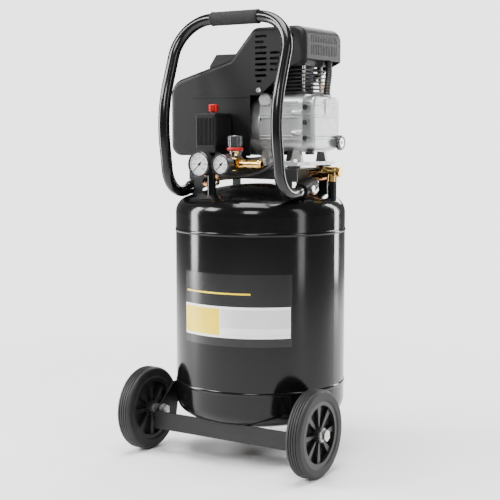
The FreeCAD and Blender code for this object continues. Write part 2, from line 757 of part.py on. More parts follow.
def build_crankcase():
    body = new_body("crankcase")
    block = sketch_on(body, "YZ", d.case_left)
    rounded(block, d.case_half, d.case_low, d.case_high, d.case_round)
    pad(body, block, d.case_right - d.case_left)
    band_grooves(body, d.case_left, d.case_right + 20, d.case_half)
    skirt = circle(sketch_on(body, "YZ", d.stator_right), 0, d.crank_height, d.stator_radius + d.motor_shell)
    pad(body, skirt, d.case_left - d.stator_right)
    for x in (d.foot_left, d.foot_right):
        for sign in (-1, 1):
            inner = d.foot_half - 17 if sign < 0 else -d.foot_half + 9
            leg = sketch_on(body, "XZ", inner)
            foot_low = d.deck_top + FOOT_LIFT
            outline(leg, [(x - d.lug_width / 2 + 2, foot_low), (x + d.lug_width / 2 - 2, foot_low),
                          (x + 5, d.case_low + 10), (x - 5, d.case_low + 10)])
            pad(body, leg, 8)
        sole = sketch_on(body, "XY", d.deck_top + FOOT_LIFT)
        rectangle(sole, x - d.lug_width / 2, x + d.lug_width / 2, -d.foot_half - 12, d.foot_half + 12)
        pad(body, sole, 7)
    doc.recompute()
    inside = sketch_on(body, "YZ", d.case_left + d.case_wall)
    rounded(inside, d.case_half - d.case_wall, d.case_low + d.case_wall, d.case_high - d.case_wall,
            d.case_round - d.case_wall)
    pocket(body, inside, d.case_right - d.case_left, backwards=True)
    windings = circle(sketch_on(body, "YZ", d.stator_right), 0, d.crank_height, d.stator_radius - 4)
    pocket(body, windings, d.case_left - d.stator_right, backwards=True)
    bearing = circle(sketch_on(body, "YZ", d.case_left), 0, d.crank_height, d.bearing_radius)
    pocket(body, bearing, d.case_wall, backwards=True)
    top = circle(sketch_on(body, "XY", d.case_high - d.case_wall), d.cylinder_x, 0, d.sleeve_radius)
    for x, y in stud_spots():
        circle(top, x, y, STUD)
    pocket(body, top, d.case_wall, backwards=True)
    holes = sketch_on(body, "YZ", d.case_right - 12)
    for y, z in cover_screw_spots():
        circle(holes, y, z, COVER_SCREW)
    pocket(body, holes, 12, backwards=True)
    bolts = sketch_on(body, "XY", d.deck_top)
    for x, y in FOOT_SPOTS:
        circle(bolts, x, y, 4)
    pocket(body, bolts, 14, backwards=True)
    place(node("crankcase", body))


def build_cover():
    body = new_body("crankcase_cover")
    flange = sketch_on(body, "YZ", d.case_right)
    rounded(flange, d.case_half + 2, d.case_low - 2, d.case_high, d.case_round + 2)
    pad(body, flange, d.flange_thick)
    dome = sketch_on(body, "YZ", d.case_right + d.flange_thick)
    rounded(dome, d.case_half - 8.5, d.case_low + 2, d.case_high - 3, d.case_round)
    pad(body, dome, d.cover_right - d.case_right - d.flange_thick)
    fillet(body, 6, lambda edge: edge.BoundBox.XMin > d.cover_right.value - 0.01)
    sight = circle(sketch_on(body, "YZ", d.case_right + d.flange_thick), SIGHT_Y, SIGHT_Z, 10.6)
    pad(body, sight, d.cover_right - d.case_right - d.flange_thick + 3)
    inside = sketch_on(body, "YZ", d.case_right)
    rounded(inside, d.case_half - d.case_wall - 4, d.case_low + d.case_wall + 4,
            d.case_high - d.case_wall - 4, d.case_round - d.case_wall)
    pocket(body, inside, d.cover_right - d.case_right - d.case_wall, backwards=True)
    bore = circle(sketch_on(body, "YZ", d.case_right), SIGHT_Y, SIGHT_Z, 9)
    pocket(body, bore, 40, backwards=True)
    holes = sketch_on(body, "YZ", d.case_right)
    for y, z in cover_screw_spots():
        circle(holes, y, z, COVER_SCREW)
    pocket(body, holes, 40, backwards=True)
    place(node("crankcase_cover", body))
    screws = [bolt(f"cover_screw_{i}", d.case_right + d.flange_thick, y, z, RIGHT, 8, 4, COVER_SCREW,
                   d.flange_thick + 11) for i, (y, z) in enumerate(cover_screw_spots())]
    group("cover_screws", screws)
    face = d.cover_right + 3
    profile = [(0, -10), (9, -10), (9, 0), (15, 0), (15, 4), (12, 7, 3.2, 1), (9.5, 7), (9.5, 5), (0, 5)]
    turned("sight_glass", profile,
           face, SIGHT_Y, SIGHT_Z, RIGHT)


def build_cylinder():
    body = new_body("cylinder")
    base = d.case_high
    revolve(body, outline(sketch_on(body), ring_points(d.bore_radius, d.sleeve_radius, -d.case_wall,
                                                        d.barrel_top - base)))
    plates = [(0, 6)] + [(10 + FIN_PITCH * i, d.fin_thick) for i in range(FINS)]
    plates.append((d.barrel_top - base - 4, 4))
    for low, thick in plates:
        fin = sketch_on(body, "XY", low)
        rectangle(fin, -d.fin_half, d.fin_half, -d.fin_half, d.fin_half)
        circle(fin, 0, 0, d.sleeve_radius - 1)
        for a in (-1, 1):
            for b in (-1, 1):
                circle(fin, a * STUD_HALF, b * STUD_HALF, STUD + d.body_gap)
        pad(body, fin, thick)
    place(node("cylinder", body), d.cylinder_x, 0, base)
    head = new_body("cylinder_head")
    block = sketch_on(head, "XY")
    rectangle(block, -d.head_half, d.head_half, -d.head_half, d.head_half)
    for a in (-1, 1):
        for b in (-1, 1):
            circle(block, a * STUD_HALF, b * STUD_HALF, STUD + d.body_gap)
    pad(head, block, d.head_top - d.barrel_top)
    fillet(head, 8, lambda edge: along(edge, UP) and abs(edge.CenterOfMass.x) > d.head_half.value - 1)
    slots = sketch_on(head, "XZ")
    for i in range(5):
        middle = -26 + 13 * i
        if abs(middle) < 30:
            rectangle(slots, middle - 3, middle + 3, 20, d.head_top - d.barrel_top + 1)
    pocket(head, slots)
    chambers = sketch_on(head, "XY")
    rectangle(chambers, -24, -3, -22, 22)
    rectangle(chambers, 3, 24, -22, 22)
    pocket(head, chambers, 12, backwards=True)
    ports = sketch_on(head, "XZ", -d.head_half)
    circle(ports, -12, 9, 5)
    circle(ports, 14, 9, 5)
    pocket(head, ports, 24, backwards=True)
    place(node("cylinder_head", head), d.cylinder_x, 0, d.barrel_top)
    studs = [bolt(f"head_bolt_{i}", x, y, d.head_top, UP, 11, 6, STUD, d.head_top - d.case_high + 6)
             for i, (x, y) in enumerate(stud_spots())]
    group("head_bolts", studs)


def build_moving_pump():
    top = d.piston_top
    body = new_body("piston")
    radius = d.bore_radius - d.piston_gap
    points = [(0, -5), (18, -5), (18, -d.piston_height), (radius, -d.piston_height)]
    for ring in (12.0, 6.0):
        points += [(radius, -ring), (radius - 1.2, -ring), (radius - 1.2, -ring + 2), (radius, -ring + 2)]
    points += [(radius, 0), (0, 0)]
    revolve(body, outline(sketch_on(body), points))
    hole = circle(sketch_on(body, "YZ"), 0, -17, 5)
    pocket(body, hole)
    place(node("piston", body), d.cylinder_x, 0, top)
    rod_body = new_body("connecting_rod")
    shape = sketch_on(rod_body, "YZ")
    circle(shape, 0, -d.rod_length, d.pin_radius + 6)
    pad(rod_body, shape, d.rod_thick, midplane=True)
    small = sketch_on(rod_body, "YZ")
    circle(small, 0, 0, 10)
    pad(rod_body, small, d.rod_thick, midplane=True)
    pad(rod_body, circle(sketch_on(rod_body, "YZ"), 0, 0, 5), 42, midplane=True)
    beam = sketch_on(rod_body, "YZ")
    outline(beam, [(-8, -d.rod_length + 4), (8, -d.rod_length + 4), (6, -4), (-6, -4)])
    pad(rod_body, beam, d.rod_thick, midplane=True)
    eyes = sketch_on(rod_body, "YZ")
    circle(eyes, 0, -d.rod_length, d.pin_radius)
    pocket(rod_body, eyes)
    place(node("connecting_rod", rod_body), d.cylinder_x, 0, top - 17)
    shaft_end = d.cylinder_x - d.rod_thick / 2 - 1.5 - d.pin_length
    shaft = new_body("crankshaft")
    main = circle(sketch_on(shaft, "YZ", d.motor_left - d.fan_width - 6), 0, 0, d.shaft_radius)
    pad(shaft, main, shaft_end - (d.motor_left - d.fan_width - 6))
    web = sketch_on(shaft, "YZ", shaft_end - 9)
    outline(web, [(-26, -12), (26, -12, 30, 1), (12, d.throw), (-12, d.throw, 12.5, 1)])
    pad(shaft, web, 9)
    pin = circle(sketch_on(shaft, "YZ", shaft_end - 1), 0, d.throw, d.pin_radius - 0.5)
    pad(shaft, pin, d.pin_length + 1)
    place(node("crankshaft", shaft), 0, 0, d.crank_height)
    rings = []
    for i, left in enumerate((d.case_left - 2, d.motor_left)):
        outer = rod(f"race_{i}", left, 0, d.crank_height, RIGHT, d.bearing_radius, d.bearing_width)
        bore = rod(f"race_bore_{i}", -300, 0, d.crank_height, RIGHT, d.shaft_radius + d.run_gap, 600)
        rings.append(cut(f"bearing_{i}", outer, bore))
    group("crank_bearings", rings)


build_crankcase()
build_cover()
build_cylinder()
build_moving_pump()


# ---------------------------------------------------------------- motor and shroud


SCREW_X = 41.0
SCREW_Z = 714.0
BLADES = 9
VENT_TOP = 814.6
VENT_PITCH = 10.45
SLITS = 16


def build_motor():
    length = d.stator_right - d.stator_left
    turned("motor_stator", ring_points(d.rotor_radius + d.air_gap, d.stator_radius, 0, length),
           d.stator_left, 0, d.crank_height, RIGHT)
    coils = []
    for name, left in (("left", d.stator_left - 14), ("right", d.stator_right)):
        outer = rod(f"coil_{name}", left, 0, d.crank_height, RIGHT, d.stator_radius - 8, 14)
        inner = rod(f"coil_bore_{name}", left, 0, d.crank_height, RIGHT, d.rotor_radius + 5, 14)
        coils.append(cut(f"winding_{name}", outer, inner))
    group("stator_windings", coils)
    turned("rotor", ring_points(d.shaft_radius, d.rotor_radius, 4, length - 4),
           d.stator_left, 0, d.crank_height, RIGHT)
    bell = d.stator_left - d.motor_left
    inner = d.stator_radius - d.motor_shell
    points = [
        (d.bearing_radius, 0), (d.stator_radius, 0), (d.stator_radius, bell), (inner, bell),
        (inner, d.motor_shell), (d.bearing_radius + 4, d.motor_shell),
        (d.bearing_radius + 4, d.bearing_width), (d.bearing_radius, d.bearing_width),
    ]
    turned("motor_end_bell", points, d.motor_left, 0, d.crank_height, RIGHT)
    block = box("cradle_block", (-86, -42, d.deck_top), (-60, 42, d.crank_height - d.stator_radius + 14))
    hollow = rod("cradle_seat", -100, 0, d.crank_height, RIGHT, d.stator_radius, 60)
    place(node("motor_cradle", cut("motor_cradle", block, hollow)))
    fan = new_body("cooling_fan")
    hub = sketch_on(fan, "XY")
    circle(hub, 0, 0, 14)
    circle(hub, 0, 0, d.shaft_radius)
    pad(fan, hub, d.fan_width)
    disc = sketch_on(fan, "XY")
    circle(disc, 0, 0, d.fan_radius)
    circle(disc, 0, 0, 13)
    pad(fan, disc, 2)
    blade = sketch_on(fan, "XY")
    rectangle(blade, 13, d.fan_radius - 1, -1, 1)
    vane = pad(fan, blade, d.fan_width)
    pattern = fan.newObject("PartDesign::PolarPattern", "fan_vanes")
    pattern.Originals = [vane]
    pattern.Axis = (blade, ["N_Axis"])
    pattern.Angle = 360
    pattern.Occurrences = BLADES
    fan.Tip = pattern
    place(node("cooling_fan", fan), d.motor_left - 4 - d.fan_width, 0, d.crank_height, RIGHT)
    turned("run_capacitor", [(0, 0), (17, 0), (18, 1), (18, 62), (15, 65), (4, 65), (4, 70), (0, 70)],
           -104, 33, 762, RIGHT)


def inset(before, corner, after, gap):
    """A corner moved inwards by a gap, on an outline that runs clockwise."""
    normals = []
    for start, end in ((before, corner), (corner, after)):
        run = Size.of(end[0]) - start[0]
        rise = Size.of(end[1]) - start[1]
        length = root(run * run + rise * rise)
        normals.append((rise / length, -run / length))
    (ax, ay), (bx, by) = normals
    share = gap / (1 + ax * bx + ay * by)
    label = f"inside_{round(corner[0].value * 10) % 9973}"
    return (named(label + "_x", corner[0] + (ax + bx) * share),
            named(label + "_z", corner[1] + (ay + by) * share))


def shroud_solid(name, gap, low):
    """The shroud's outer form, or with a gap, the space inside it."""
    left, right, high = d.shroud_left, d.shroud_right, d.shroud_high
    chain = [(left, low), (left, high - 99), (Size.of(-24), high - 58), (Size.of(28), high),
             (right, high), (right, high - 61)]
    shape = list(chain)
    if gap is not None:
        ends = [(left + gap, low)]
        ends += [inset(chain[i - 1], chain[i], chain[i + 1], gap) for i in range(1, 5)]
        shape = ends + [(right - gap, low)]
    else:
        shape += [(d.cylinder_x + 25, high - 76), (d.cylinder_x - 40, high - 127),
                  (d.shroud_step, high - 127), (d.shroud_step, low)]
    body = new_body(name)
    drawing = outline(sketch_on(body), list(reversed(shape)))
    take = Size.of(0) if gap is None else gap
    pad(body, drawing, (d.shroud_half - take) * 2, midplane=True)
    for spot, radius in ((left + take, 34.0), (right - take, 24.0)):
        fillet(body, radius - take, lambda edge, spot=spot: along(edge, FRONT)
               and abs(edge.CenterOfMass.x - spot.value) < 0.01 and edge.CenterOfMass.z > 700
               and not (edge.CenterOfMass.z < high.value - 40 and spot.value > 0))
    if gap is None:
        fillet(body, 26, lambda edge: along(edge, FRONT) and edge.CenterOfMass.x < left.value + 1
               and edge.CenterOfMass.z < low.value + 1)
    fillet(body, 20, lambda edge: along(edge, FRONT) and 15 < edge.CenterOfMass.x < 35
           and edge.CenterOfMass.z > high.value - 8)
    fillet(body, d.shroud_round - take, lambda edge: edge.BoundBox.YLength < 0.01
           and abs(abs(edge.CenterOfMass.y) - (d.shroud_half - take).value) < 0.01
           and edge.CenterOfMass.z > (low + 30).value
           and not (edge.CenterOfMass.x > 15 and edge.CenterOfMass.z < high.value - 65))
    return body


def vent_slots(body):
    """Rows of round-ended slots through the side plates, and fine slits in the end face."""
    slots = sketch_on(body, "XZ")
    rows = [(36, 57, VENT_TOP - VENT_PITCH * i) for i in range(9)]
    rows[1] = (36, 51, rows[1][2])
    rows[8] = (39, 46, rows[8][2])
    rows += [(69, 88, VENT_TOP - VENT_PITCH * (3 + i)) for i in range(4)]
    rows += [(101, 116, VENT_TOP - VENT_PITCH * i) for i in range(4)]
    slot_radius = 2.4
    for left, right, height in rows:
        outline(slots, [(right, height - slot_radius), (right, height + slot_radius, slot_radius, 1),
                        (left, height + slot_radius), (left, height - slot_radius, slot_radius, 1)])
    pocket(body, slots)
    pocket(body, circle(sketch_on(body, "XZ"), SCREW_X, SCREW_Z, 2))
    slits = sketch_on(body, "YZ", d.shroud_right - 6)
    rectangle(slits, -48, -46, 802, 815)
    rectangle(slits, -48, -46, 779, 798)
    slit = pocket(body, slits, 12, backwards=True)
    row = body.newObject("PartDesign::LinearPattern", "slit_row")
    row.Originals = [slit]
    row.Direction = (slits, ["H_Axis"])
    row.Length = 94
    row.Occurrences = SLITS
    body.Tip = row


def hump(name, wall):
    """The box behind the sloping top that covers the capacitor, or with a wall, the room in it."""
    left, right = -124 + wall, 10 - wall
    low, high = d.shroud_high - 110 + wall, d.shroud_high - 42 - wall
    body = new_body(name)
    drawing = outline(sketch_on(body, "XZ", -62 + wall), [
        (left, low), (right, low), (right, high), (left + 16, high), (left, high - 22)])
    pad(body, drawing, 58 - 2 * wall)
    return body


def build_shroud():
    outer = shroud_solid("shroud_outer", None, d.shroud_low)
    vent_slots(outer)
    inner = shroud_solid("shroud_inner", d.shroud_wall, d.shroud_low - 60)
    bump = hump("shroud_bump", 0)
    room = hump("shroud_room", d.shroud_wall)
    skin = fuse("shroud_skin", [outer, bump])
    space = fuse("shroud_space", [inner, room])
    place(node("shroud", cut("shroud", skin, space)))
    for name, y, towards in (("near", -d.shroud_half, FRONT), ("far", d.shroud_half, BACK)):
        head = primitive("Cone", f"screw_head_{name}", SCREW_X, y, SCREW_Z, towards, Radius1=5, Radius2=3.6,
                         Height=2.4)
        into = tuple(-value for value in towards)
        shank = rod(f"screw_shank_{name}", SCREW_X, y, SCREW_Z, into, 2, d.shroud_wall + 4)
        frame_bolts.append(fuse(f"shroud_screw_{name}", [head, shank]))


def build_pump_fixings():
    mounts = []
    for i, (x, y) in enumerate(FOOT_SPOTS):
        disc = rod(f"mount_{i}", x, y, d.deck_top, UP, 12, FOOT_LIFT)
        bore = rod(f"mount_bore_{i}", x, y, d.deck_top, UP, 4, FOOT_LIFT)
        mounts.append(cut(f"rubber_mount_{i}", disc, bore))
        frame_bolts.append(bolt(f"pump_bolt_{i}", x, y, d.deck_top + FOOT_LIFT + 7, UP, 13, 5.5, 4, 22))
    group("rubber_mounts", mounts)
    group("frame_bolts", frame_bolts)
    turned("air_filter", [(0, -8), (5, -8), (5, 4), (16, 4), (18, 6), (18, 24), (16, 26), (0, 26)],
           d.cylinder_x - 12, d.head_half, d.barrel_top + 9, BACK)
    hose_low = d.case_high - 3
    route = [(141, 14, hose_low), (141, 14, hose_low + 16), (138, 27, hose_low + 42),
             (132, 36, hose_low + 66), (132, 38, hose_low + 84)]
    bent_tube("breather_hose", route, d.hose_radius)
    place(nodes["breather_hose"])


build_motor()
build_shroud()
build_pump_fixings()


# ---------------------------------------------------------------- air line and controls


NEEDLE_ANGLE = 225.0
FLUTES = 14


def build_manifold():
    body = new_body("manifold")
    half = d.block_half
    block = rounded(sketch_on(body, "YZ"), half, -half, half, 3)
    pad(body, block, d.block_right - d.block_left)
    bore = circle(sketch_on(body, "YZ", 6), 0, 0, 5)
    pocket(body, bore, d.block_right - d.block_left - 10, backwards=True)
    place(node("manifold", body), d.block_left, -d.line_back, d.line_height)


def build_switch():
    middle_x, middle_y = d.riser_x, -d.line_back
    flange_high = d.switch_low + 8
    plate = box("switch_plate", (d.switch_left + 2, -d.switch_front + 2, d.switch_low),
                (d.switch_right - 2, -d.switch_back - 2, flange_high))
    neck_low = d.line_height + d.block_half
    neck = rod("switch_neck", middle_x, middle_y, neck_low, UP, 8, d.switch_low - neck_low + 1)
    gland = rod("switch_gland", -30, -88, d.switch_low, DOWN, 6.5, 9)
    contacts = box("switch_block", (-56, -128, flange_high), (-22, -90, flange_high + 34))
    place(node("pressure_switch_base", fuse("pressure_switch_base", [plate, neck, gland, contacts])))
    body = new_body("pressure_switch_cover")
    walls = sketch_on(body, "XY", flange_high)
    rectangle(walls, d.switch_left + 1, d.switch_right - 1, -d.switch_front + 1, -d.switch_back - 1)
    pad(body, walls, d.switch_high - flange_high - 5)
    lid = sketch_on(body, "XY", d.switch_high - 6)
    rectangle(lid, d.switch_left, d.switch_right, -d.switch_front, -d.switch_back)
    pad(body, lid, 6)
    fillet(body, 4, lambda edge: along(edge, UP))
    fillet(body, 1.5, lambda edge: edge.BoundBox.ZMin > d.switch_high.value - 0.01)
    inside = sketch_on(body, "XY", flange_high)
    rectangle(inside, d.switch_left + 4, d.switch_right - 4, -d.switch_front + 4, -d.switch_back - 4)
    pocket(body, inside, d.switch_high - flange_high - 4, backwards=True)
    knob_y = (d.switch_front + d.switch_back) / 2
    knob_x = (d.switch_left + d.switch_right) / 2
    hole = circle(sketch_on(body, "XY", d.switch_high - 10), knob_x, -knob_y, 4 + d.run_gap)
    pocket(body, hole, 12, backwards=True)
    place(node("pressure_switch_cover", body))
    knob = [(0, -19), (4, -19), (4, 3.5), (9.5, 3.5), (9.5, 15), (8, 17, 2.2, 1), (0, 17)]
    turned("power_knob", knob, knob_x, -knob_y, d.switch_high, UP)


def build_gauge(name, x, radius):
    """A dial gauge screwed into the manifold's front, and its needle on a spindle."""
    face = 8 + d.gauge_depth - 5
    inner = radius - d.gauge_wall
    points = [
        (0, 0), (5, 0), (5, 8), (radius - 2, 8), (radius, 10), (radius, 8 + d.gauge_depth),
        (inner, 8 + d.gauge_depth), (inner, face), (1, face), (1, face + 3), (0, face + 3),
    ]
    front = d.line_back + d.block_half
    turned(f"gauge_{name}_case", points, x, -front, d.line_height, FRONT)
    body = new_body(f"gauge_{name}_needle")
    hand = sketch_on(body, "XY")
    tip = radius * 0.78
    outline(hand, [(tip, -0.4), (tip, 0.4), (-tip * 0.35, 1.1), (-tip * 0.35, -1.1)])
    pad(body, hand, 0.8)
    pad(body, circle(sketch_on(body, "XY"), 0, 0, 2.6), 1.4)
    pocket(body, circle(sketch_on(body, "XY"), 0, 0, 1 + d.run_gap))
    needle = node(f"gauge_{name}_needle", body)
    place(needle, x, -(front + face + 1), d.line_height, FRONT)
    flat = needle.Placement.Rotation
    spin = FreeCAD.Rotation(FreeCAD.Vector(0, 0, 1), NEEDLE_ANGLE)
    needle.Placement = FreeCAD.Placement(needle.Placement.Base, flat.multiply(spin))


def build_regulator():
    top = d.line_height + d.block_half
    spot = (d.regulator_x, -d.line_back)
    points = [(0, 0), (7.5, 0), (7.5, 3), (11.5, 11), (14.5, 11), (14.5, 19), (5, 19), (5, 38), (0, 38)]
    turned("regulator_body", points, *spot, top)
    body = new_body("regulator_knob")
    revolve(body, outline(sketch_on(body), [
        (5 + d.run_gap, 19.4), (13, 19.4), (13, 40), (12, 41), (0, 41), (0, 38.4), (5 + d.run_gap, 38.4)]))
    flute = sketch_on(body, "XY", 21)
    circle(flute, 14.2, 0, 1.9)
    groove = pocket(body, flute, 30, backwards=True)
    pattern = body.newObject("PartDesign::PolarPattern", "knob_flutes")
    pattern.Originals = [groove]
    pattern.Axis = (flute, ["N_Axis"])
    pattern.Angle = 360
    pattern.Occurrences = FLUTES
    body.Tip = pattern
    place(node("regulator_knob", body), *spot, top)


def build_coupler():
    spot = (d.block_right, -d.line_back, d.line_height)
    big = d.coupler_radius
    points = [
        (0, 0), (6.5, 0), (6.5, 2), (big, 3), (big, 11), (big - 1.5, 12), (big - 1.5, 48),
        (big - 2.5, 50), (5.2, 50), (5.2, 14), (0, 14),
    ]
    turned("coupler_body", points, *spot, RIGHT)
    inner = big - 1.5 + d.run_gap
    sleeve = [
        (inner, 22), (big + 0.4, 22), (big + 0.4, 29), (big - 0.4, 30), (big - 0.4, 33), (big + 0.4, 34),
        (big + 0.4, 44), (big - 0.4, 46), (inner, 46),
    ]
    turned("coupler_sleeve", sleeve, *spot, RIGHT)


def build_safety_valve():
    spot = (-4, -(d.line_back - d.block_half), d.line_height)
    points = [(0, 0), (4, 0), (4, 3), (6.5, 3), (6.5, 10), (5, 11), (5, 21), (2 + d.run_gap, 21),
              (2 + d.run_gap, 9), (0, 9)]
    turned("safety_valve_body", points, *spot, BACK)
    pin = spun("safety_pin", [(0, 10), (2, 10), (2, 23), (0, 23)])
    place(pin, *spot, BACK, shifted=False)
    ring = primitive("Torus", "pull_ring", spot[0], spot[1] + 29.2, spot[2], RIGHT, Radius1=6, Radius2=0.8)
    place(node("safety_valve_pin", fuse("safety_valve_pin", [pin, ring])))


def build_drain():
    low = d.seam_low - d.flange_len - d.head_depth
    body = spun("drain_core", [(0, -6), (8.5, -6), (8.5, 3), (7, 4), (7, 20), (4, 23), (0, 23)])
    place(body, 0, 0, low, DOWN, shifted=False)
    stem = rod("drain_stem", 0, 0, low - 12, FRONT, 3, 13)
    place(node("drain_valve_body", fuse("drain_valve_body", [body, stem])))
    lever = new_body("drain_lever")
    plate = sketch_on(lever, "XZ")
    circle(plate, 0, 0, 6.5)
    pad(lever, plate, 2.4)
    arm = sketch_on(lever, "XZ")
    rectangle(arm, 2, 34, -4, 4)
    pad(lever, arm, 2.4)
    fillet(lever, 3.5, lambda edge: along(edge, FRONT) and edge.CenterOfMass.x > 30)
    pocket(lever, circle(sketch_on(lever, "XZ"), 0, 0, 3 + d.run_gap))
    place(node("drain_lever", lever), 0, -8.5, low - 12)


def build_check_valve():
    left = d.nipple_x - 27
    body = spun("check_core", [
        (0, 0), (7.5, 0), (7.5, 7), (10.8, 7), (10.8, 10), (d.valve_radius, 11), (d.valve_radius, 37),
        (9.4, 38), (9.4, 45), (8.4, 46), (0, 46)])
    place(body, left, d.nipple_y, d.valve_height, RIGHT, shifted=False)
    port = rod("check_port", d.nipple_x, d.nipple_y, d.valve_height, DOWN, 10, d.valve_radius + 8)
    place(node("check_valve", fuse("check_valve", [body, port])))


def build_tubes():
    left = d.nipple_x - 27
    route = [
        (98, 32, 773), (98, 58, 773), (98, 63, 738), (97, 79, 708), (92, 81, 640), (84, 84, 574),
        (83, 76, 536), (82, 58, 533), (84, 40, 538), (92, 29, 556), (106, d.nipple_y, d.valve_height),
        (left, d.nipple_y, d.valve_height),
    ]
    bent_tube("discharge_tube", route, d.discharge_radius)
    place(nodes["discharge_tube"])
    end_y = d.nipple_y + d.valve_radius + 0.5
    route = [
        (-28, -112, 562), (-28, -112, 548), (-31, -99, 537), (-50, -95, 533.5), (-76, -92, 534),
        (-84, -68, 536), (-72, -40, 543), (-30, -8, 547), (40, 4, 545), (92, 12, 544),
        (110, 32, 543), (120, 50, 546), (134, 56, 555), (134, end_y, d.valve_height),
    ]
    bent_tube("unloader_tube", route, d.unloader_radius)
    place(nodes["unloader_tube"])
    route = [
        (-30, -88, 588), (-30, -88, 573), (-20, -87, 556), (0, -86, 551), (24, -86, 552),
        (50, -86, 558), (70, -84, 567), (78, -68, 580), (74, -46, 588), (54, -30, 588),
        (20, -22, 585), (-14, -16, 582), (-32, -10, 584), (-36, -8, 593),
    ]
    bent_tube("motor_lead", route, d.lead_radius)
    place(nodes["motor_lead"])


build_manifold()
build_switch()
for gauge, gauge_x, gauge_radius in (
    ("large", d.gauge_big_x, d.gauge_big), ("small", d.gauge_small_x, d.gauge_small),
):
    build_gauge(gauge, gauge_x, gauge_radius)
build_regulator()
build_coupler()
build_safety_valve()
build_drain()
build_check_valve()
build_tubes()


# ---------------------------------------------------------------- checks and export


doc.recompute()
faults = [item.Name for item in doc.Objects if {"Invalid", "Error"} & set(item.State)]
if faults:
    raise RuntimeError(f"failed objects: {faults}")
for name, item in nodes.items():
    if item.Shape.isNull() or not item.Shape.isValid() or not item.Shape.Solids:
        raise RuntimeError(f"bad shape: {name}")
os.makedirs("parts", exist_ok=True)
for name, item in nodes.items():
    item.Shape.exportStep(f"parts/{name}.step")
print(f"{len(nodes)} parts written")
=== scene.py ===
import math

import bmesh
import bpy
from mathutils import Matrix, Vector


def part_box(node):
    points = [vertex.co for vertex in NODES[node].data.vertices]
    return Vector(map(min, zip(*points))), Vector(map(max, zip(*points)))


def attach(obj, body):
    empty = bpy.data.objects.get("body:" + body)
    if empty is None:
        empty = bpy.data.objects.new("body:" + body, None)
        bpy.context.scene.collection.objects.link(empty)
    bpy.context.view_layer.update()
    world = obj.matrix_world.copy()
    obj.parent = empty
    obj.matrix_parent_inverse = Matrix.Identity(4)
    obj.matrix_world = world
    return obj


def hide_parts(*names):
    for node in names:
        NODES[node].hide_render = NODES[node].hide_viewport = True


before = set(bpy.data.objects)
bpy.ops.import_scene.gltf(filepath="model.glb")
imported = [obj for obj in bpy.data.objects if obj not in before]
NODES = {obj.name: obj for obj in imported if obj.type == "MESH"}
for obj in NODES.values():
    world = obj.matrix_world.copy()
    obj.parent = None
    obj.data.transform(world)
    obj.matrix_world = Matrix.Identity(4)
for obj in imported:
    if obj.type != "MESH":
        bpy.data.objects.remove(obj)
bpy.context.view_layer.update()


# ---------------------------------------------------------------- materials


def new_material(name):
    """A material with its nodes, links and shader."""
    made = bpy.data.materials.new(name)
    made.use_nodes = True
    nodes = made.node_tree.nodes
    shader = nodes["Principled BSDF"]
    return made, nodes, made.node_tree.links, shader


def noise(nodes, links, scale, detail=4.0, stretch=(1, 1, 1)):
    """A noise texture in the object's own metres, optionally stretched along an axis."""
    place = nodes.new("ShaderNodeTexCoord")
    sizes = nodes.new("ShaderNodeMapping")
    sizes.inputs["Scale"].default_value = stretch
    made = nodes.new("ShaderNodeTexNoise")
    made.inputs["Scale"].default_value = scale
    made.inputs["Detail"].default_value = detail
    links.new(place.outputs["Object"], sizes.inputs["Vector"])
    links.new(sizes.outputs["Vector"], made.inputs["Vector"])
    return made.outputs["Fac"]


def spread(nodes, links, source, low, high, start=0.3, stop=0.7):
    """A value mapped from one range to another, held at the ends."""
    made = nodes.new("ShaderNodeMapRange")
    made.inputs["From Min"].default_value = start
    made.inputs["From Max"].default_value = stop
    made.inputs["To Min"].default_value = low
    made.inputs["To Max"].default_value = high
    links.new(source, made.inputs["Value"])
    return made.outputs["Result"]


def blend_colours(nodes, links, factor, first, second):
    """A colour between two, by a factor from 0 to 1."""
    made = nodes.new("ShaderNodeMix")
    made.data_type = "RGBA"
    factor_in, first_in, second_in, colour_out = 0, 6, 7, 2
    made.inputs[first_in].default_value = (*first, 1)
    made.inputs[second_in].default_value = (*second, 1)
    links.new(factor, made.inputs[factor_in])
    return made.outputs[colour_out]


def finish(name, colour, other=None, rough=(0.4, 0.5), metal=0.0, grain=300.0, mottle=18.0,
           bump=0.1, depth=0.0002, coat=0.0, stretch=(1, 1, 1), sheen=0.0, specular=0.5):
    """A finish with mottled colour, uneven roughness and a fine bump."""
    made, nodes, links, shader = new_material(name)
    other = other or tuple(c * 1.35 + 0.002 for c in colour)
    patches = noise(nodes, links, mottle, 5.0, stretch)
    tint = blend_colours(nodes, links, spread(nodes, links, patches, 0, 1), colour, other)
    links.new(tint, shader.inputs["Base Color"])
    fine = noise(nodes, links, grain, 6.0, stretch)
    links.new(spread(nodes, links, fine, rough[0], rough[1]), shader.inputs["Roughness"])
    relief = nodes.new("ShaderNodeBump")
    relief.inputs["Strength"].default_value = bump
    relief.inputs["Distance"].default_value = depth
    links.new(fine, relief.inputs["Height"])
    links.new(relief.outputs["Normal"], shader.inputs["Normal"])
    shader.inputs["Metallic"].default_value = metal
    shader.inputs["Coat Weight"].default_value = coat
    shader.inputs["Coat Roughness"].default_value = 0.04
    shader.inputs["Sheen Weight"].default_value = sheen
    shader.inputs["Specular IOR Level"].default_value = specular
    return made


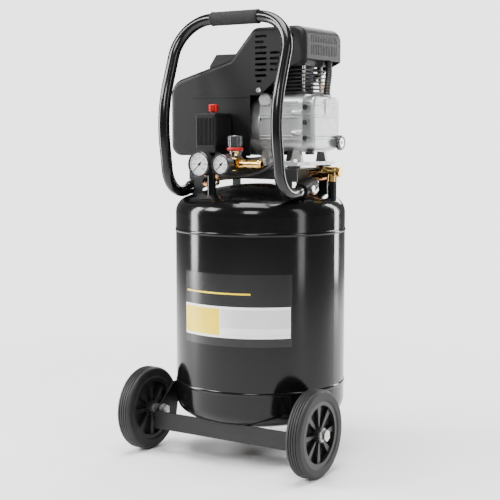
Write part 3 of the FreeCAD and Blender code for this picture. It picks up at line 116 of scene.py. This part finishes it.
gloss_black = finish("gloss_black", (0.0022, 0.0022, 0.0024), (0.0035, 0.0035, 0.0038), (0.12, 0.16),
                     grain=60, mottle=6, bump=0.012, specular=0.28)
handle_black = finish("handle_black", (0.003, 0.003, 0.0034), (0.005, 0.005, 0.0054), (0.14, 0.18),
                      grain=60, mottle=9, bump=0.004, specular=0.42)
satin_black = finish("satin_black", (0.004, 0.004, 0.0045), (0.008, 0.008, 0.0085), (0.34, 0.46),
                     grain=900, bump=0.12, depth=0.0001, specular=0.35)
tyre_rubber = finish("tyre_rubber", (0.005, 0.005, 0.0055), (0.011, 0.011, 0.0115), (0.5, 0.66),
                     grain=700, mottle=40, bump=0.3, depth=0.0002, specular=0.4)
foam = finish("grip_foam", (0.006, 0.006, 0.006), (0.02, 0.02, 0.02), (0.7, 0.9),
              grain=900, mottle=350, bump=0.7, depth=0.0004, specular=0.25)
rim_black = finish("rim_plastic", (0.004, 0.004, 0.0045), (0.008, 0.008, 0.009), (0.32, 0.45),
                   grain=1200, bump=0.2, depth=0.0001)
shroud_grey = finish("shroud_plastic", (0.0032, 0.0033, 0.0036), (0.005, 0.0051, 0.0055), (0.4, 0.54),
                     grain=1500, mottle=14, bump=0.25, depth=0.00012, specular=0.22)
dark_plastic = finish("dark_plastic", (0.003, 0.003, 0.0034), (0.006, 0.006, 0.0066), (0.4, 0.52),
                      grain=1200, bump=0.3, depth=0.0001, specular=0.25)
hose_black = finish("hose_rubber", (0.008, 0.008, 0.008), (0.016, 0.016, 0.016), (0.38, 0.5),
                    grain=800, bump=0.2)
zinc = finish("zinc_plate", (0.56, 0.56, 0.54), (0.7, 0.7, 0.68), (0.22, 0.36), 1.0,
              grain=500, mottle=120, bump=0.1)
black_oxide = finish("black_oxide", (0.02, 0.02, 0.021), (0.05, 0.05, 0.05), (0.3, 0.42), 0.7,
                     grain=600, mottle=150, bump=0.15)
cast_alloy = finish("cast_alloy", (0.36, 0.365, 0.372), (0.5, 0.505, 0.51), (0.28, 0.44), 0.85,
                    grain=1100, mottle=60, bump=0.5, depth=0.0004)
black_casting = finish("black_casting", (0.016, 0.016, 0.017), (0.035, 0.035, 0.036), (0.42, 0.6),
                       0.3, grain=900, mottle=80, bump=0.5, depth=0.0003)
machined = finish("machined_alloy", (0.6, 0.61, 0.62), (0.72, 0.72, 0.73), (0.2, 0.34), 1.0,
                  grain=400, bump=0.15, stretch=(1, 1, 12))
ground_steel = finish("ground_steel", (0.5, 0.5, 0.51), (0.62, 0.62, 0.63), (0.18, 0.32), 1.0,
                      grain=400, bump=0.12, stretch=(8, 1, 1))
laminated = finish("laminated_steel", (0.22, 0.22, 0.23), (0.34, 0.34, 0.34), (0.35, 0.5), 1.0,
                   grain=300, bump=0.5, depth=0.0003, stretch=(12, 1, 1))
winding = finish("copper_winding", (0.42, 0.13, 0.04), (0.6, 0.22, 0.08), (0.25, 0.45), 0.8,
                 grain=500, bump=0.8, depth=0.0008, stretch=(1, 1, 6))
brass = finish("brass", (0.62, 0.38, 0.11), (0.78, 0.52, 0.19), (0.16, 0.3), 1.0,
               grain=500, mottle=90, bump=0.12)
copper = finish("copper_tube", (0.72, 0.33, 0.14), (0.85, 0.47, 0.24), (0.2, 0.34), 1.0,
                grain=350, mottle=70, bump=0.12)
red_plastic = finish("red_plastic", (0.34, 0.0, 0.0), (0.45, 0.002, 0.002), (0.24, 0.34),
                     grain=600, bump=0.04, specular=0.35)
smoked = finish("smoked_plastic", (0.012, 0.012, 0.014), (0.03, 0.03, 0.034), (0.14, 0.24),
                grain=300, bump=0.05, coat=0.8)
anodised = finish("black_anodised", (0.02, 0.02, 0.022), (0.05, 0.05, 0.052), (0.28, 0.4), 0.6,
                  grain=600, bump=0.1)
chrome = finish("chrome", (0.72, 0.72, 0.73), (0.8, 0.8, 0.8), (0.08, 0.14), 1.0, grain=200, bump=0.03)
needle_black = finish("needle_black", (0.01, 0.01, 0.01), (0.02, 0.02, 0.02), (0.4, 0.5),
                      grain=900, bump=0.05)

PAINT = {
    "tank_shell": gloss_black, "tank_top_head": gloss_black, "tank_bottom_head": gloss_black,
    "tank_pipes": gloss_black, "handle_tube": handle_black, "handle_grip": foam,
    "wheel_bracket": satin_black, "foot_bracket": satin_black, "platform": satin_black,
    "handle_sockets": satin_black, "motor_cradle": satin_black, "tyre_left": tyre_rubber,
    "tyre_right": tyre_rubber, "wheel_rim_left": rim_black, "wheel_rim_right": rim_black,
    "rubber_feet": tyre_rubber, "rubber_mounts": tyre_rubber, "axle_bolts": zinc,
    "axle_nuts": zinc, "frame_bolts": zinc, "cover_screws": black_oxide,
    "head_bolts": zinc, "crankcase": cast_alloy, "crankcase_cover": cast_alloy,
    "cylinder": black_casting, "cylinder_head": black_casting, "piston": machined,
    "connecting_rod": machined, "crankshaft": ground_steel, "crank_bearings": ground_steel,
    "motor_stator": laminated, "rotor": laminated, "stator_windings": winding,
    "motor_end_bell": cast_alloy, "cooling_fan": dark_plastic, "run_capacitor": machined,
    "shroud": shroud_grey, "air_filter": dark_plastic, "breather_hose": hose_black,
    "motor_lead": hose_black, "sight_glass": smoked, "manifold": brass, "coupler_body": brass,
    "coupler_sleeve": brass, "check_valve": brass, "drain_valve_body": brass,
    "safety_valve_body": brass, "pressure_switch_base": dark_plastic,
    "pressure_switch_cover": dark_plastic, "power_knob": red_plastic,
    "gauge_large_case": smoked, "gauge_small_case": smoked, "gauge_large_needle": needle_black,
    "gauge_small_needle": needle_black, "regulator_body": anodised, "regulator_knob": smoked,
    "discharge_tube": copper, "unloader_tube": copper, "safety_valve_pin": chrome,
    "drain_lever": chrome,
}
for name, made in PAINT.items():
    thing = NODES[name]
    for slot in thing.material_slots:
        slot.link = "OBJECT"
        slot.material = made

# ---------------------------------------------------------------- camera, light and floor

AXIS_Y = sum(corner[1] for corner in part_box("tank_shell")) / 2
LENS, SENSOR = 82.8, 36
camera = bpy.data.objects.new("camera", bpy.data.cameras.new("camera"))
camera.data.lens = LENS
camera.data.sensor_width = SENSOR
camera.location = (1.21625, AXIS_Y - 1.92548, 0.63322)
camera.rotation_euler = (math.radians(84.2), 0, math.radians(32.8))
bpy.context.collection.objects.link(camera)
bpy.context.scene.camera = camera


def softbox(name, place, target, width, height, power):
    """A rectangular area light aimed at a point and not seen by the camera."""
    lamp = bpy.data.objects.new(name, bpy.data.lights.new(name, "AREA"))
    lamp.data.shape = "RECTANGLE"
    lamp.data.size = width
    lamp.data.size_y = height
    lamp.data.energy = power
    lamp.location = place
    lamp.rotation_euler = (Vector(place) - Vector(target)).to_track_quat("Z", "Y").to_euler()
    lamp.visible_camera = False
    bpy.context.collection.objects.link(lamp)


MIDDLE = (0, 0, 0.45)
TANK_MIDDLE = (0, 0, 0.5)
for lamp_settings in (
        # name, place, target, width, height, power
        ("key_left", (-2.1, -1.0, 0.95), TANK_MIDDLE, 0.5, 1.8, 85),
        ("high_left", (-1.5, -1.6, 1.9), MIDDLE, 0.7, 0.7, 45),
        ("strip_right", (2.0, -0.1, 1.0), TANK_MIDDLE, 0.35, 1.9, 15),
        ("rim_right", (0.95, 2.0, 0.95), TANK_MIDDLE, 0.35, 1.8, 40),
        ("top", (0.1, -0.3, 2.6), MIDDLE, 1.5, 1.5, 110),
        ("front", (0.9, -2.6, 1.9), MIDDLE, 0.9, 0.9, 45),
        ("back", (-0.7, 2.2, 1.6), MIDDLE, 1.2, 1.6, 55)):
    softbox(*lamp_settings)

WHITE_GLOW = 3.0
world = bpy.data.worlds.new("studio")
bpy.context.scene.world = world
world.use_nodes = True
tree = world.node_tree
sky = tree.nodes["Background"]
sky.inputs["Color"].default_value = (0.9, 0.9, 0.9, 1)
sky.inputs["Strength"].default_value = 0.22
white = tree.nodes.new("ShaderNodeBackground")
white.inputs["Color"].default_value = (1, 1, 1, 1)
white.inputs["Strength"].default_value = WHITE_GLOW
rays = tree.nodes.new("ShaderNodeLightPath")
choose = tree.nodes.new("ShaderNodeMixShader")
tree.links.new(rays.outputs["Is Camera Ray"], choose.inputs[0])
tree.links.new(sky.outputs[0], choose.inputs[1])
tree.links.new(white.outputs[0], choose.inputs[2])
tree.links.new(choose.outputs[0], tree.nodes["World Output"].inputs["Surface"])

FLOOR_SIZE, FLOOR_Z = 14, -0.0005
FADE_START, FADE_END = 0.35, 1.5
bpy.ops.mesh.primitive_plane_add(size=FLOOR_SIZE, location=(0, 0, FLOOR_Z))
floor = bpy.context.object
floor.name = "floor"
paper = finish("floor_white", (0.86, 0.86, 0.86), (0.9, 0.9, 0.9), (0.6, 0.7),
               grain=8, mottle=1.5, bump=0.0)
floor.data.materials.append(paper)
# The paper fades into the white background away from the object.
tree = paper.node_tree
where = tree.nodes.new("ShaderNodeTexCoord")
reach = tree.nodes.new("ShaderNodeVectorMath")
reach.operation = "LENGTH"
tree.links.new(where.outputs["Object"], reach.inputs[0])
fade = spread(tree.nodes, tree.links, reach.outputs["Value"], 0, 1, FADE_START, FADE_END)
seen = tree.nodes.new("ShaderNodeLightPath")
both = tree.nodes.new("ShaderNodeMath")
both.operation = "MULTIPLY"
tree.links.new(fade, both.inputs[0])
tree.links.new(seen.outputs["Is Camera Ray"], both.inputs[1])
glow = tree.nodes.new("ShaderNodeEmission")
glow.inputs["Strength"].default_value = WHITE_GLOW
mixed = tree.nodes.new("ShaderNodeMixShader")
tree.links.new(both.outputs[0], mixed.inputs[0])
tree.links.new(tree.nodes["Principled BSDF"].outputs[0], mixed.inputs[1])
tree.links.new(glow.outputs[0], mixed.inputs[2])
tree.links.new(mixed.outputs[0], tree.nodes["Material Output"].inputs["Surface"])

# ---------------------------------------------------------------- helpers for pieces


def mesh_piece(name, points, faces, made, body="frame", smooth=True):
    """A mesh object in the row frame that rides on a body."""
    mesh = bpy.data.meshes.new(name)
    mesh.from_pydata([tuple(p) for p in points], [], faces)
    mesh.validate()
    piece = bpy.data.objects.new(name, mesh)
    bpy.context.collection.objects.link(piece)
    mesh.materials.append(made)
    shape = bmesh.new()
    shape.from_mesh(mesh)
    bmesh.ops.remove_doubles(shape, verts=shape.verts, dist=1e-7)
    bmesh.ops.recalc_face_normals(shape, faces=shape.faces)
    for face in shape.faces:
        face.smooth = smooth
    shape.to_mesh(mesh)
    shape.free()
    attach(piece, body)
    return piece


def frame_of(axis):
    """Two directions across an axis."""
    along = Vector(axis).normalized()
    side = along.cross(Vector((0, 0, 1)) if abs(along.z) < 0.9 else Vector((1, 0, 0))).normalized()
    return along, side, along.cross(side)


def lathe(name, profile, centre, axis, made, body="frame", steps=56, wave=None,
          closed=True):
    """A turned piece: profile holds (radius, distance along the axis), wave(angle) scales it."""
    along, side, up = frame_of(axis)
    points, faces = [], []
    for radius, rise in profile:
        for i in range(steps):
            angle = 2 * math.pi * i / steps
            reach = radius * (wave(angle) if wave else 1)
            points.append(Vector(centre) + along * rise
                          + (side * math.cos(angle) + up * math.sin(angle)) * reach)
    rings = len(profile)
    for ring in range(rings if closed else rings - 1):
        a, b = ring * steps, (ring + 1) % rings * steps
        for i in range(steps):
            j = (i + 1) % steps
            faces.append((a + i, a + j, b + j, b + i))
    piece = mesh_piece(name, points, faces, made, body)
    bevel_edges(piece)
    return piece


def bevel_edges(piece, width=0.0003):
    """Round off the sharp edges of a piece."""
    soften = piece.modifiers.new("soft_edges", "BEVEL")
    soften.width = width
    soften.segments = 2
    soften.limit_method = "ANGLE"
    soften.angle_limit = math.radians(35)
    soften.harden_normals = True
    return piece


def patch(name, radius, turn, height, made, steps=48):
    """A film wrapped on the tank between two turns (degrees from -Y) and two heights."""
    points = []
    for i in range(steps + 1):
        angle = math.radians(turn[0] + (turn[1] - turn[0]) * i / steps)
        for z in height:
            points.append((radius * math.sin(angle), AXIS_Y - radius * math.cos(angle), z))
    faces = [(2 * i, 2 * i + 2, 2 * i + 3, 2 * i + 1) for i in range(steps)]
    return mesh_piece(name, points, faces, made, "frame")


def smooth_line(points, steps=12):
    """Points of the smooth spline through a short route."""
    curve = bpy.data.curves.new("route", "CURVE")
    curve.dimensions = "3D"
    spline = curve.splines.new("NURBS")
    spline.points.add(len(points) - 1)
    for spot, point in zip(spline.points, points):
        spot.co = (*point, 1)
    spline.order_u = 3
    spline.use_endpoint_u = True
    spline.resolution_u = steps
    carrier = bpy.data.objects.new("route", curve)
    made = bpy.data.meshes.new_from_object(carrier)
    line = [vertex.co.copy() for vertex in made.vertices]
    bpy.data.objects.remove(carrier)
    bpy.data.meshes.remove(made)
    bpy.data.curves.remove(curve)
    return line


def evenly(line, step):
    """Points at even spacing along a line."""
    out, left = [line[0]], step
    for a, b in zip(line, line[1:]):
        run = (b - a).length
        while run >= left > 0:
            a = a + (b - a).normalized() * left
            out.append(a)
            run -= left
            left = step
        left -= run
    return out


def tube(name, line, radius, made, body="frame", sides=20):
    """A tube along a line; radius(distance, angle) may vary."""
    points, faces, gone = [], [], 0.0
    side = None
    for i, spot in enumerate(line):
        ahead = (line[min(i + 1, len(line) - 1)] - line[max(i - 1, 0)]).normalized()
        if side is None:
            side = frame_of(ahead)[1]
        side = (side - ahead * side.dot(ahead)).normalized()
        up = ahead.cross(side)
        if i:
            gone += (spot - line[i - 1]).length
        for j in range(sides):
            angle = 2 * math.pi * j / sides
            points.append(spot + (side * math.cos(angle) + up * math.sin(angle)) * radius(gone, angle))
    for i in range(len(line) - 1):
        a, b = i * sides, (i + 1) * sides
        faces += [(a + j, a + (j + 1) % sides, b + (j + 1) % sides, b + j) for j in range(sides)]
    faces.append(tuple(reversed(range(sides))))
    faces.append(tuple(range((len(line) - 1) * sides, len(line) * sides)))
    return mesh_piece(name, points, faces, made, body)


def block(name, low, high, made, body="frame", edge=0.0015, lean=None):
    """A softened block; lean(x, y, z) may move its corners."""
    corners = [(x, y, z) for z in (low[2], high[2])
               for y in (low[1], high[1]) for x in (low[0], high[0])]
    if lean:
        corners = [lean(*corner) for corner in corners]
    faces = [(0, 2, 3, 1), (4, 5, 7, 6), (0, 1, 5, 4), (2, 6, 7, 3), (0, 4, 6, 2), (1, 3, 7, 5)]
    piece = mesh_piece(name, corners, faces, made, body)
    bevel_edges(piece, edge).modifiers[0].segments = 4
    return piece


def middle(node):
    """The middle of a CAD node's box."""
    low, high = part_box(node)
    return (Vector(low) + Vector(high)) / 2


# ---------------------------------------------------------------- label on the tank

sticker_black = finish("sticker_black", (0.0035, 0.0035, 0.004), (0.005, 0.005, 0.0055), (0.2, 0.26),
                       grain=80, bump=0.008)
sticker_yellow = finish("sticker_yellow", (0.86, 0.6, 0.0), (0.93, 0.7, 0.0), (0.3, 0.4),
                        grain=90, mottle=25, bump=0.01)
sticker_white = finish("sticker_white", (0.82, 0.82, 0.83), (0.9, 0.9, 0.9), (0.3, 0.4),
                       grain=90, bump=0.01)
sticker_grey = finish("sticker_grey", (0.6, 0.6, 0.61), (0.72, 0.72, 0.72), (0.3, 0.4),
                      grain=90, mottle=12, bump=0.01)
shell_low, shell_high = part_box("tank_shell")
shell_radius = (shell_high[0] - shell_low[0]) / 2
for name, proud, turn, height, made in (
        # name, distance off the shell, turn in degrees, heights in metres, finish
        ("label_back", 0.0002, (-26, 53), (0.236, 0.372), sticker_black),
        ("label_band", 0.0003, (-25.5, 52), (0.252, 0.311), sticker_white),
        ("label_block", 0.0004, (-25.3, 5), (0.2565, 0.3065), sticker_yellow),
        ("label_panel", 0.0004, (6.2, 51.6), (0.2705, 0.3055), sticker_grey),
        ("label_rule", 0.0004, (6.2, 51.6), (0.2575, 0.2585), sticker_grey),
        ("label_stripe", 0.0003, (-24, 26), (0.334, 0.337), sticker_yellow)):
    patch(name, shell_radius + proud, turn, height, made)

# ---------------------------------------------------------------- gauges

DIAL_START, DIAL_SWEEP = 225, 270  # degrees, anticlockwise from the right
DIAL_MARKS = 37
MARKS_PER_NUMBER = 6
dial_white = finish("dial_white", (0.83, 0.83, 0.82), (0.88, 0.88, 0.87), (0.4, 0.5),
                    grain=300, bump=0.02)
ink = finish("dial_ink", (0.01, 0.01, 0.01), (0.02, 0.02, 0.02), (0.5, 0.6), grain=300, bump=0.02)
lens, lens_nodes, lens_links, lens_shader = new_material("lens_glass")
lens_shader.inputs["Base Color"].default_value = (0.98, 0.99, 0.99, 1)
lens_shader.inputs["Transmission Weight"].default_value = 1.0
lens_shader.inputs["IOR"].default_value = 1.03
lens_links.new(spread(lens_nodes, lens_links, noise(lens_nodes, lens_links, 120), 0.02, 0.05),
               lens_shader.inputs["Roughness"])


def dial(size, step):
    """The plate, marks, numbers, lens and bezel of one gauge; step is from number to number."""
    low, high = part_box(f"gauge_{size}_case")
    radius = (high[0] - low[0]) / 2
    x, z = (low[0] + high[0]) / 2, (low[2] + high[2]) / 2
    floor_y = low[1] + 0.005
    inner = radius - 0.0018
    lathe(f"dial_{size}", [(0.0014, 0), (inner, 0), (inner, 0.0003), (0.0014, 0.0003)],
          (x, floor_y, z), (0, -1, 0), dial_white)
    points, faces = [], []
    for i in range(DIAL_MARKS):
        turn = math.radians(DIAL_START - DIAL_SWEEP * i / (DIAL_MARKS - 1))
        outwards = Vector((math.cos(turn), 0, math.sin(turn)))
        across = Vector((-outwards.z, 0, outwards.x))
        major = i % MARKS_PER_NUMBER == 0
        start, stop = inner * (0.74 if major else 0.82), inner * 0.9
        half = 0.00045 if major else 0.0002
        base = Vector((x, floor_y - 0.00045, z))
        k = len(points)
        points += [base + outwards * start - across * half, base + outwards * stop - across * half,
                   base + outwards * stop + across * half, base + outwards * start + across * half]
        points += [point + Vector((0, 0.0002, 0)) for point in points[k:k + 4]]
        faces += [(k, k + 1, k + 2, k + 3), (k + 7, k + 6, k + 5, k + 4), (k, k + 4, k + 5, k + 1),
                  (k + 1, k + 5, k + 6, k + 2), (k + 2, k + 6, k + 7, k + 3), (k + 3, k + 7, k + 4, k)]
    mesh_piece(f"dial_marks_{size}", points, faces, ink, "frame", smooth=False)
    numbers = DIAL_MARKS // MARKS_PER_NUMBER + 1
    for i in range(numbers):
        turn = math.radians(DIAL_START - DIAL_SWEEP * i / (numbers - 1))
        text = bpy.data.curves.new(f"dial_number_{size}_{i}", "FONT")
        text.body = str(i * step)
        text.size = inner * 0.2
        text.extrude = 0.00008
        text.align_x = text.align_y = "CENTER"
        number = bpy.data.objects.new(text.name, text)
        out = inner * 0.56
        number.location = (x + math.cos(turn) * out, floor_y - 0.0004, z + math.sin(turn) * out)
        number.rotation_euler = (math.radians(90), 0, 0)
        text.materials.append(ink)
        bpy.context.collection.objects.link(number)
        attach(number, "frame")
    face = low[1]
    lathe(f"gauge_lens_{size}",
          [(0.0, 0.0), (inner * 0.5, -0.0002), (inner + 0.0001, -0.0009),
           (inner + 0.0001, -0.0017), (inner * 0.5, -0.001), (0.0, -0.0008)],
          (x, face, z), (0, -1, 0), lens, closed=False)
    lathe(f"gauge_bezel_{size}",
          [(inner - 0.0006, -0.0004), (radius, -0.0002), (radius + 0.0008, -0.0012),
           (radius + 0.0008, -0.006), (radius, -0.0066), (radius, -0.0004)],
          (x, face, z), (0, -1, 0), smoked)


dial("large", 40)
dial("small", 30)

# ---------------------------------------------------------------- regulator, switch and shroud details

knob_low, knob_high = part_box("regulator_knob")
reg = middle("regulator_body")
lathe("regulator_ring",
      [(0.0146, 0.6006), (0.0155, 0.6013), (0.0158, 0.6035), (0.0155, 0.6057), (0.0146, 0.6065)],
      (reg.x, reg.y, 0), (0, 0, 1), red_plastic,
      wave=lambda a: 1 + 0.018 * math.cos(24 * a), steps=144)
lathe("regulator_collar",
      [(0.0078, 0.5895), (0.0098, 0.5905), (0.0128, 0.598), (0.0146, 0.5992),
       (0.0146, 0.5998), (0.0078, 0.5998)],
      (reg.x, reg.y, 0), (0, 0, 1), chrome)
knob_top = knob_high[2]
knob_radius = (knob_high[0] - knob_low[0]) / 2
lathe("regulator_flutes",
      [(knob_radius + 0.0001, 0.609), (knob_radius + 0.0011, 0.6096),
       (knob_radius + 0.0011, knob_top - 0.0015), (knob_radius + 0.0001, knob_top - 0.0008)],
      (reg.x, reg.y, 0), (0, 0, 1), smoked, "regulator_dial",
      wave=lambda a: 1 + 0.03 * math.cos(16 * a), steps=128)

cover_low, cover_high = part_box("pressure_switch_cover")
RIB_HALF = 0.0006


def switch_rib(name, x, y):
    """An upright rib on the switch cover, half sunk in its wall."""
    block(name, (x - RIB_HALF, y - RIB_HALF, cover_low[2] + 0.006),
          (x + RIB_HALF, y + RIB_HALF, cover_high[2] - 0.009),
          dark_plastic, edge=0.0003)


FRONT_RIBS, SIDE_RIBS = 13, 17
for i in range(FRONT_RIBS):
    x = cover_low[0] + 0.006 + i * (cover_high[0] - cover_low[0] - 0.012) / (FRONT_RIBS - 1)
    switch_rib(f"switch_rib_{i:02d}", x, cover_low[1])
for i in range(SIDE_RIBS):
    y = cover_low[1] + 0.005 + i * (cover_high[1] - cover_low[1] - 0.01) / (SIDE_RIBS - 1)
    switch_rib(f"switch_side_rib_{i:02d}", cover_high[0], y)
# The lid's lip leaves room for the knob's neck in the middle.
lip_front = cover_low[1] - 0.0014
lip_left, lip_right = cover_low[0] - 0.0012, cover_high[0] + 0.0012
for name, low, high in (
        ("front", (lip_left, lip_front), (lip_right, cover_low[1] + 0.0004)),
        ("right", (cover_high[0] - 0.0004, lip_front), (lip_right, cover_high[1])),
        ("left", (lip_left, lip_front), (cover_low[0] + 0.0004, cover_high[1]))):
    block(f"switch_lip_{name}", (*low, cover_high[2] - 0.0045), (*high, cover_high[2] - 0.001),
          dark_plastic, edge=0.0006)

shroud_low, shroud_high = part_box("shroud")
front, back = shroud_low[1], shroud_high[1]
for name, near, far in (("shroud_ridge", front - 0.0011, front + 0.0005),
                        ("shroud_ridge_back", back - 0.0005, back + 0.0011)):
    block(name, (-0.118, near, 0.7005), (0.016, far, 0.7042), shroud_grey,
          edge=0.0009)

# ---------------------------------------------------------------- crankcase details

case_low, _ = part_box("crankcase")
lid_low, lid_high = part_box("crankcase_cover")
lid_mid = (lid_low[1] + lid_high[1]) / 2
lathe("oil_plug", [(0.0, 0.004), (0.006, 0.004), (0.0085, 0.002), (0.0085, -0.007), (0.0, -0.007)],
      (0.1315, lid_mid - 0.034, lid_low[2] + 0.002), (0, 0, 1), black_oxide,
      closed=False, wave=lambda a: 1 + 0.05 * math.cos(6 * a))
BREATHER_Y = 0.03035
lathe("breather_seat",
      [(0.0, -0.006), (0.0118, -0.006), (0.0118, 0.0012), (0.0105, 0.0022), (0.0, 0.0022)],
      (0.1385, BREATHER_Y, 0.7035), (0, 0, 1), cast_alloy, closed=False)
rib_y = lid_mid - 0.006
mesh_piece("cover_rib", [(0.1488, rib_y - 0.007, 0.698), (0.1488, rib_y + 0.007, 0.698),
                         (0.1488, rib_y + 0.001, 0.664), (0.1488, rib_y - 0.001, 0.664),
                         (0.1515, rib_y - 0.004, 0.695), (0.1515, rib_y + 0.004, 0.695),
                         (0.1500, rib_y + 0.0004, 0.668), (0.1500, rib_y - 0.0004, 0.668)],
           [(0, 1, 2, 3), (7, 6, 5, 4), (0, 4, 5, 1), (1, 5, 6, 2), (2, 6, 7, 3), (3, 7, 4, 0)],
           cast_alloy, "frame")
for k, z in enumerate((0.634, 0.672)):
    for side, y in (("near", lid_low[1] + 0.001), ("far", lid_high[1] - 0.001)):
        lathe(f"joint_boss_{side}_{k}",
              [(0.0, -0.011), (0.0052, -0.011), (0.006, -0.0095), (0.006, 0.0085),
               (0.0052, 0.01), (0.0, 0.01)],
              (0.1215, y, z), (1, 0, 0), cast_alloy, closed=False)
lathe("case_ear",
      [(0.0, -0.003), (0.0105, -0.003), (0.0125, -0.001), (0.0125, 0.004), (0.0105, 0.006),
       (0.0, 0.006)],
      (0.049, case_low[1] + 0.012, 0.697), (0, -1, 0), cast_alloy, closed=False)

sight = middle("sight_glass")
sight.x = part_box("sight_glass")[1][0]
lathe("sight_bezel",
      [(0.0092, -0.0012), (0.0122, -0.0012), (0.0124, -0.0002), (0.0112, 0.0), (0.0092, -0.0006)],
      sight, (1, 0, 0), chrome)
lathe("sight_window", [(0.0, -0.0016), (0.0093, -0.0016), (0.0093, -0.001), (0.0, -0.0008)],
      sight, (1, 0, 0), machined, closed=False)
lathe("sight_dot", [(0.0, -0.0009), (0.0034, -0.0009), (0.0032, -0.0004), (0.0, -0.0003)],
      sight, (1, 0, 0), red_plastic, closed=False)


BAND_HALF = BAND_PROUD = 0.0011
BAND_GAP = 0.0028  # from the middle of a pair of ribs to either rib
CASE_HALF = 0.060


def band(name, rise):
    """A pair of raised ribs round the cover's dome and along the case's two sides."""
    near, far = lid_low[1] + 0.0095, lid_high[1] - 0.0095
    right = lid_high[0] - 0.003
    for k, shift in enumerate((-BAND_GAP, BAND_GAP)):
        low, high = rise + shift - BAND_HALF, rise + shift + BAND_HALF
        runs = (("near", (0.131, near - BAND_PROUD), (right - 0.006, near + 0.001)),
                ("far", (0.131, far - 0.001), (right - 0.006, far + BAND_PROUD)),
                ("end", (right - 0.001, near + 0.007), (right + BAND_PROUD, far - 0.007)),
                ("front", (0.037, AXIS_Y - CASE_HALF - BAND_PROUD),
                 (0.120, AXIS_Y - CASE_HALF + BAND_PROUD)),
                ("rear", (0.037, AXIS_Y + CASE_HALF - BAND_PROUD),
                 (0.120, AXIS_Y + CASE_HALF + BAND_PROUD)))
        for side, start, stop in runs:
            block(f"{name}_{side}_{k}", (*start, low), (*stop, high), cast_alloy,
                  edge=0.0008)


for k, rise in enumerate((0.625, 0.666, 0.6885)):
    band(f"case_band_{k}", rise)

# ---------------------------------------------------------------- breather bellows

route = [(0.141, BREATHER_Y, 0.7032), (0.141, BREATHER_Y, 0.719), (0.138, 0.04335, 0.745),
         (0.132, 0.05235, 0.769), (0.132, 0.05435, 0.7865)]
HOSE_RADIUS, FOLD_DEPTH, FOLD_PITCH = 0.0056, 0.0012, 0.0052


def fold(gone, angle):
    """The radius of the bellows after a distance along it."""
    return HOSE_RADIUS + FOLD_DEPTH * (0.5 + 0.5 * math.cos(2 * math.pi * gone / FOLD_PITCH)) ** 0.6


bellows = tube("breather_bellows", evenly(smooth_line(route, 24), 0.0004), fold,
               hose_black, sides=28)
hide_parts("breather_hose")

# ---------------------------------------------------------------- handle tube


def bent_line(points, bends, steps=14):
    """Straight runs joined by arcs of the given radii."""
    line = [Vector(points[0])]
    for before, corner, after, radius in zip(points, points[1:], points[2:], bends):
        corner = Vector(corner)
        back = (Vector(before) - corner).normalized()
        ahead = (Vector(after) - corner).normalized()
        half = back.angle(ahead) / 2
        centre = corner + (back + ahead).normalized() * radius / math.sin(half)
        first = corner + back * radius / math.tan(half) - centre
        last = corner + ahead * radius / math.tan(half) - centre
        turn = first.angle(last)
        for i in range(steps + 1):
            share = i / steps
            line.append(centre + (first * math.sin((1 - share) * turn) + last * math.sin(share * turn))
                        / math.sin(turn))
    line.append(Vector(points[-1]))
    return line


TUBE_RADIUS = 0.011
tube_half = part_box("handle_tube")[1][0] - TUBE_RADIUS
# One side from foot to crossbar, as (y from the tank's axis, z).
side_run = [(-0.019, 0.53653), (-0.129, 0.50683), (-0.1525, 0.672), (-0.089, 0.850)]
corners = [(tube_half, AXIS_Y + y, z) for y, z in side_run]
corners += [(-x, y, z) for x, y, z in reversed(corners)]
FOOT_BEND, KNEE_BEND, TOP_BEND = 0.050, 0.240, 0.074
bends = [FOOT_BEND, KNEE_BEND, TOP_BEND, TOP_BEND, KNEE_BEND, FOOT_BEND]
handle = tube("handle_bar", bent_line(corners, bends), lambda gone, angle: TUBE_RADIUS,
              handle_black, sides=48)
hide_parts("handle_tube")

# ---------------------------------------------------------------- handle grip

grip_low, grip_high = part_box("handle_grip")
grip_mid = middle("handle_grip")
grip_radius = (grip_high[2] - grip_low[2]) / 2
INNER_RADIUS = 0.0111
RIB_STEPS = 46
profile = [(INNER_RADIUS, grip_low[0]), (grip_radius - 0.001, grip_low[0]),
           (grip_radius, grip_low[0] + 0.0015), (grip_radius, grip_low[0] + 0.004),
           (grip_radius - 0.0008, grip_low[0] + 0.005)]
for i in range(RIB_STEPS + 1):
    rise = grip_low[0] + 0.006 + (grip_high[0] - grip_low[0] - 0.012) * i / RIB_STEPS
    profile.append((grip_radius - (0.0008 if i % 2 else 0.0002), rise))
profile += [(grip_radius - 0.0008, grip_high[0] - 0.005), (grip_radius, grip_high[0] - 0.004),
            (grip_radius, grip_high[0] - 0.0015), (grip_radius - 0.001, grip_high[0]),
            (INNER_RADIUS, grip_high[0])]
sleeve = lathe("grip_sleeve", profile, (0, grip_mid.y, grip_mid.z), (1, 0, 0), foam,
               steps=72, wave=lambda a: 1 + 0.004 * math.cos(36 * a))
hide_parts("handle_grip")
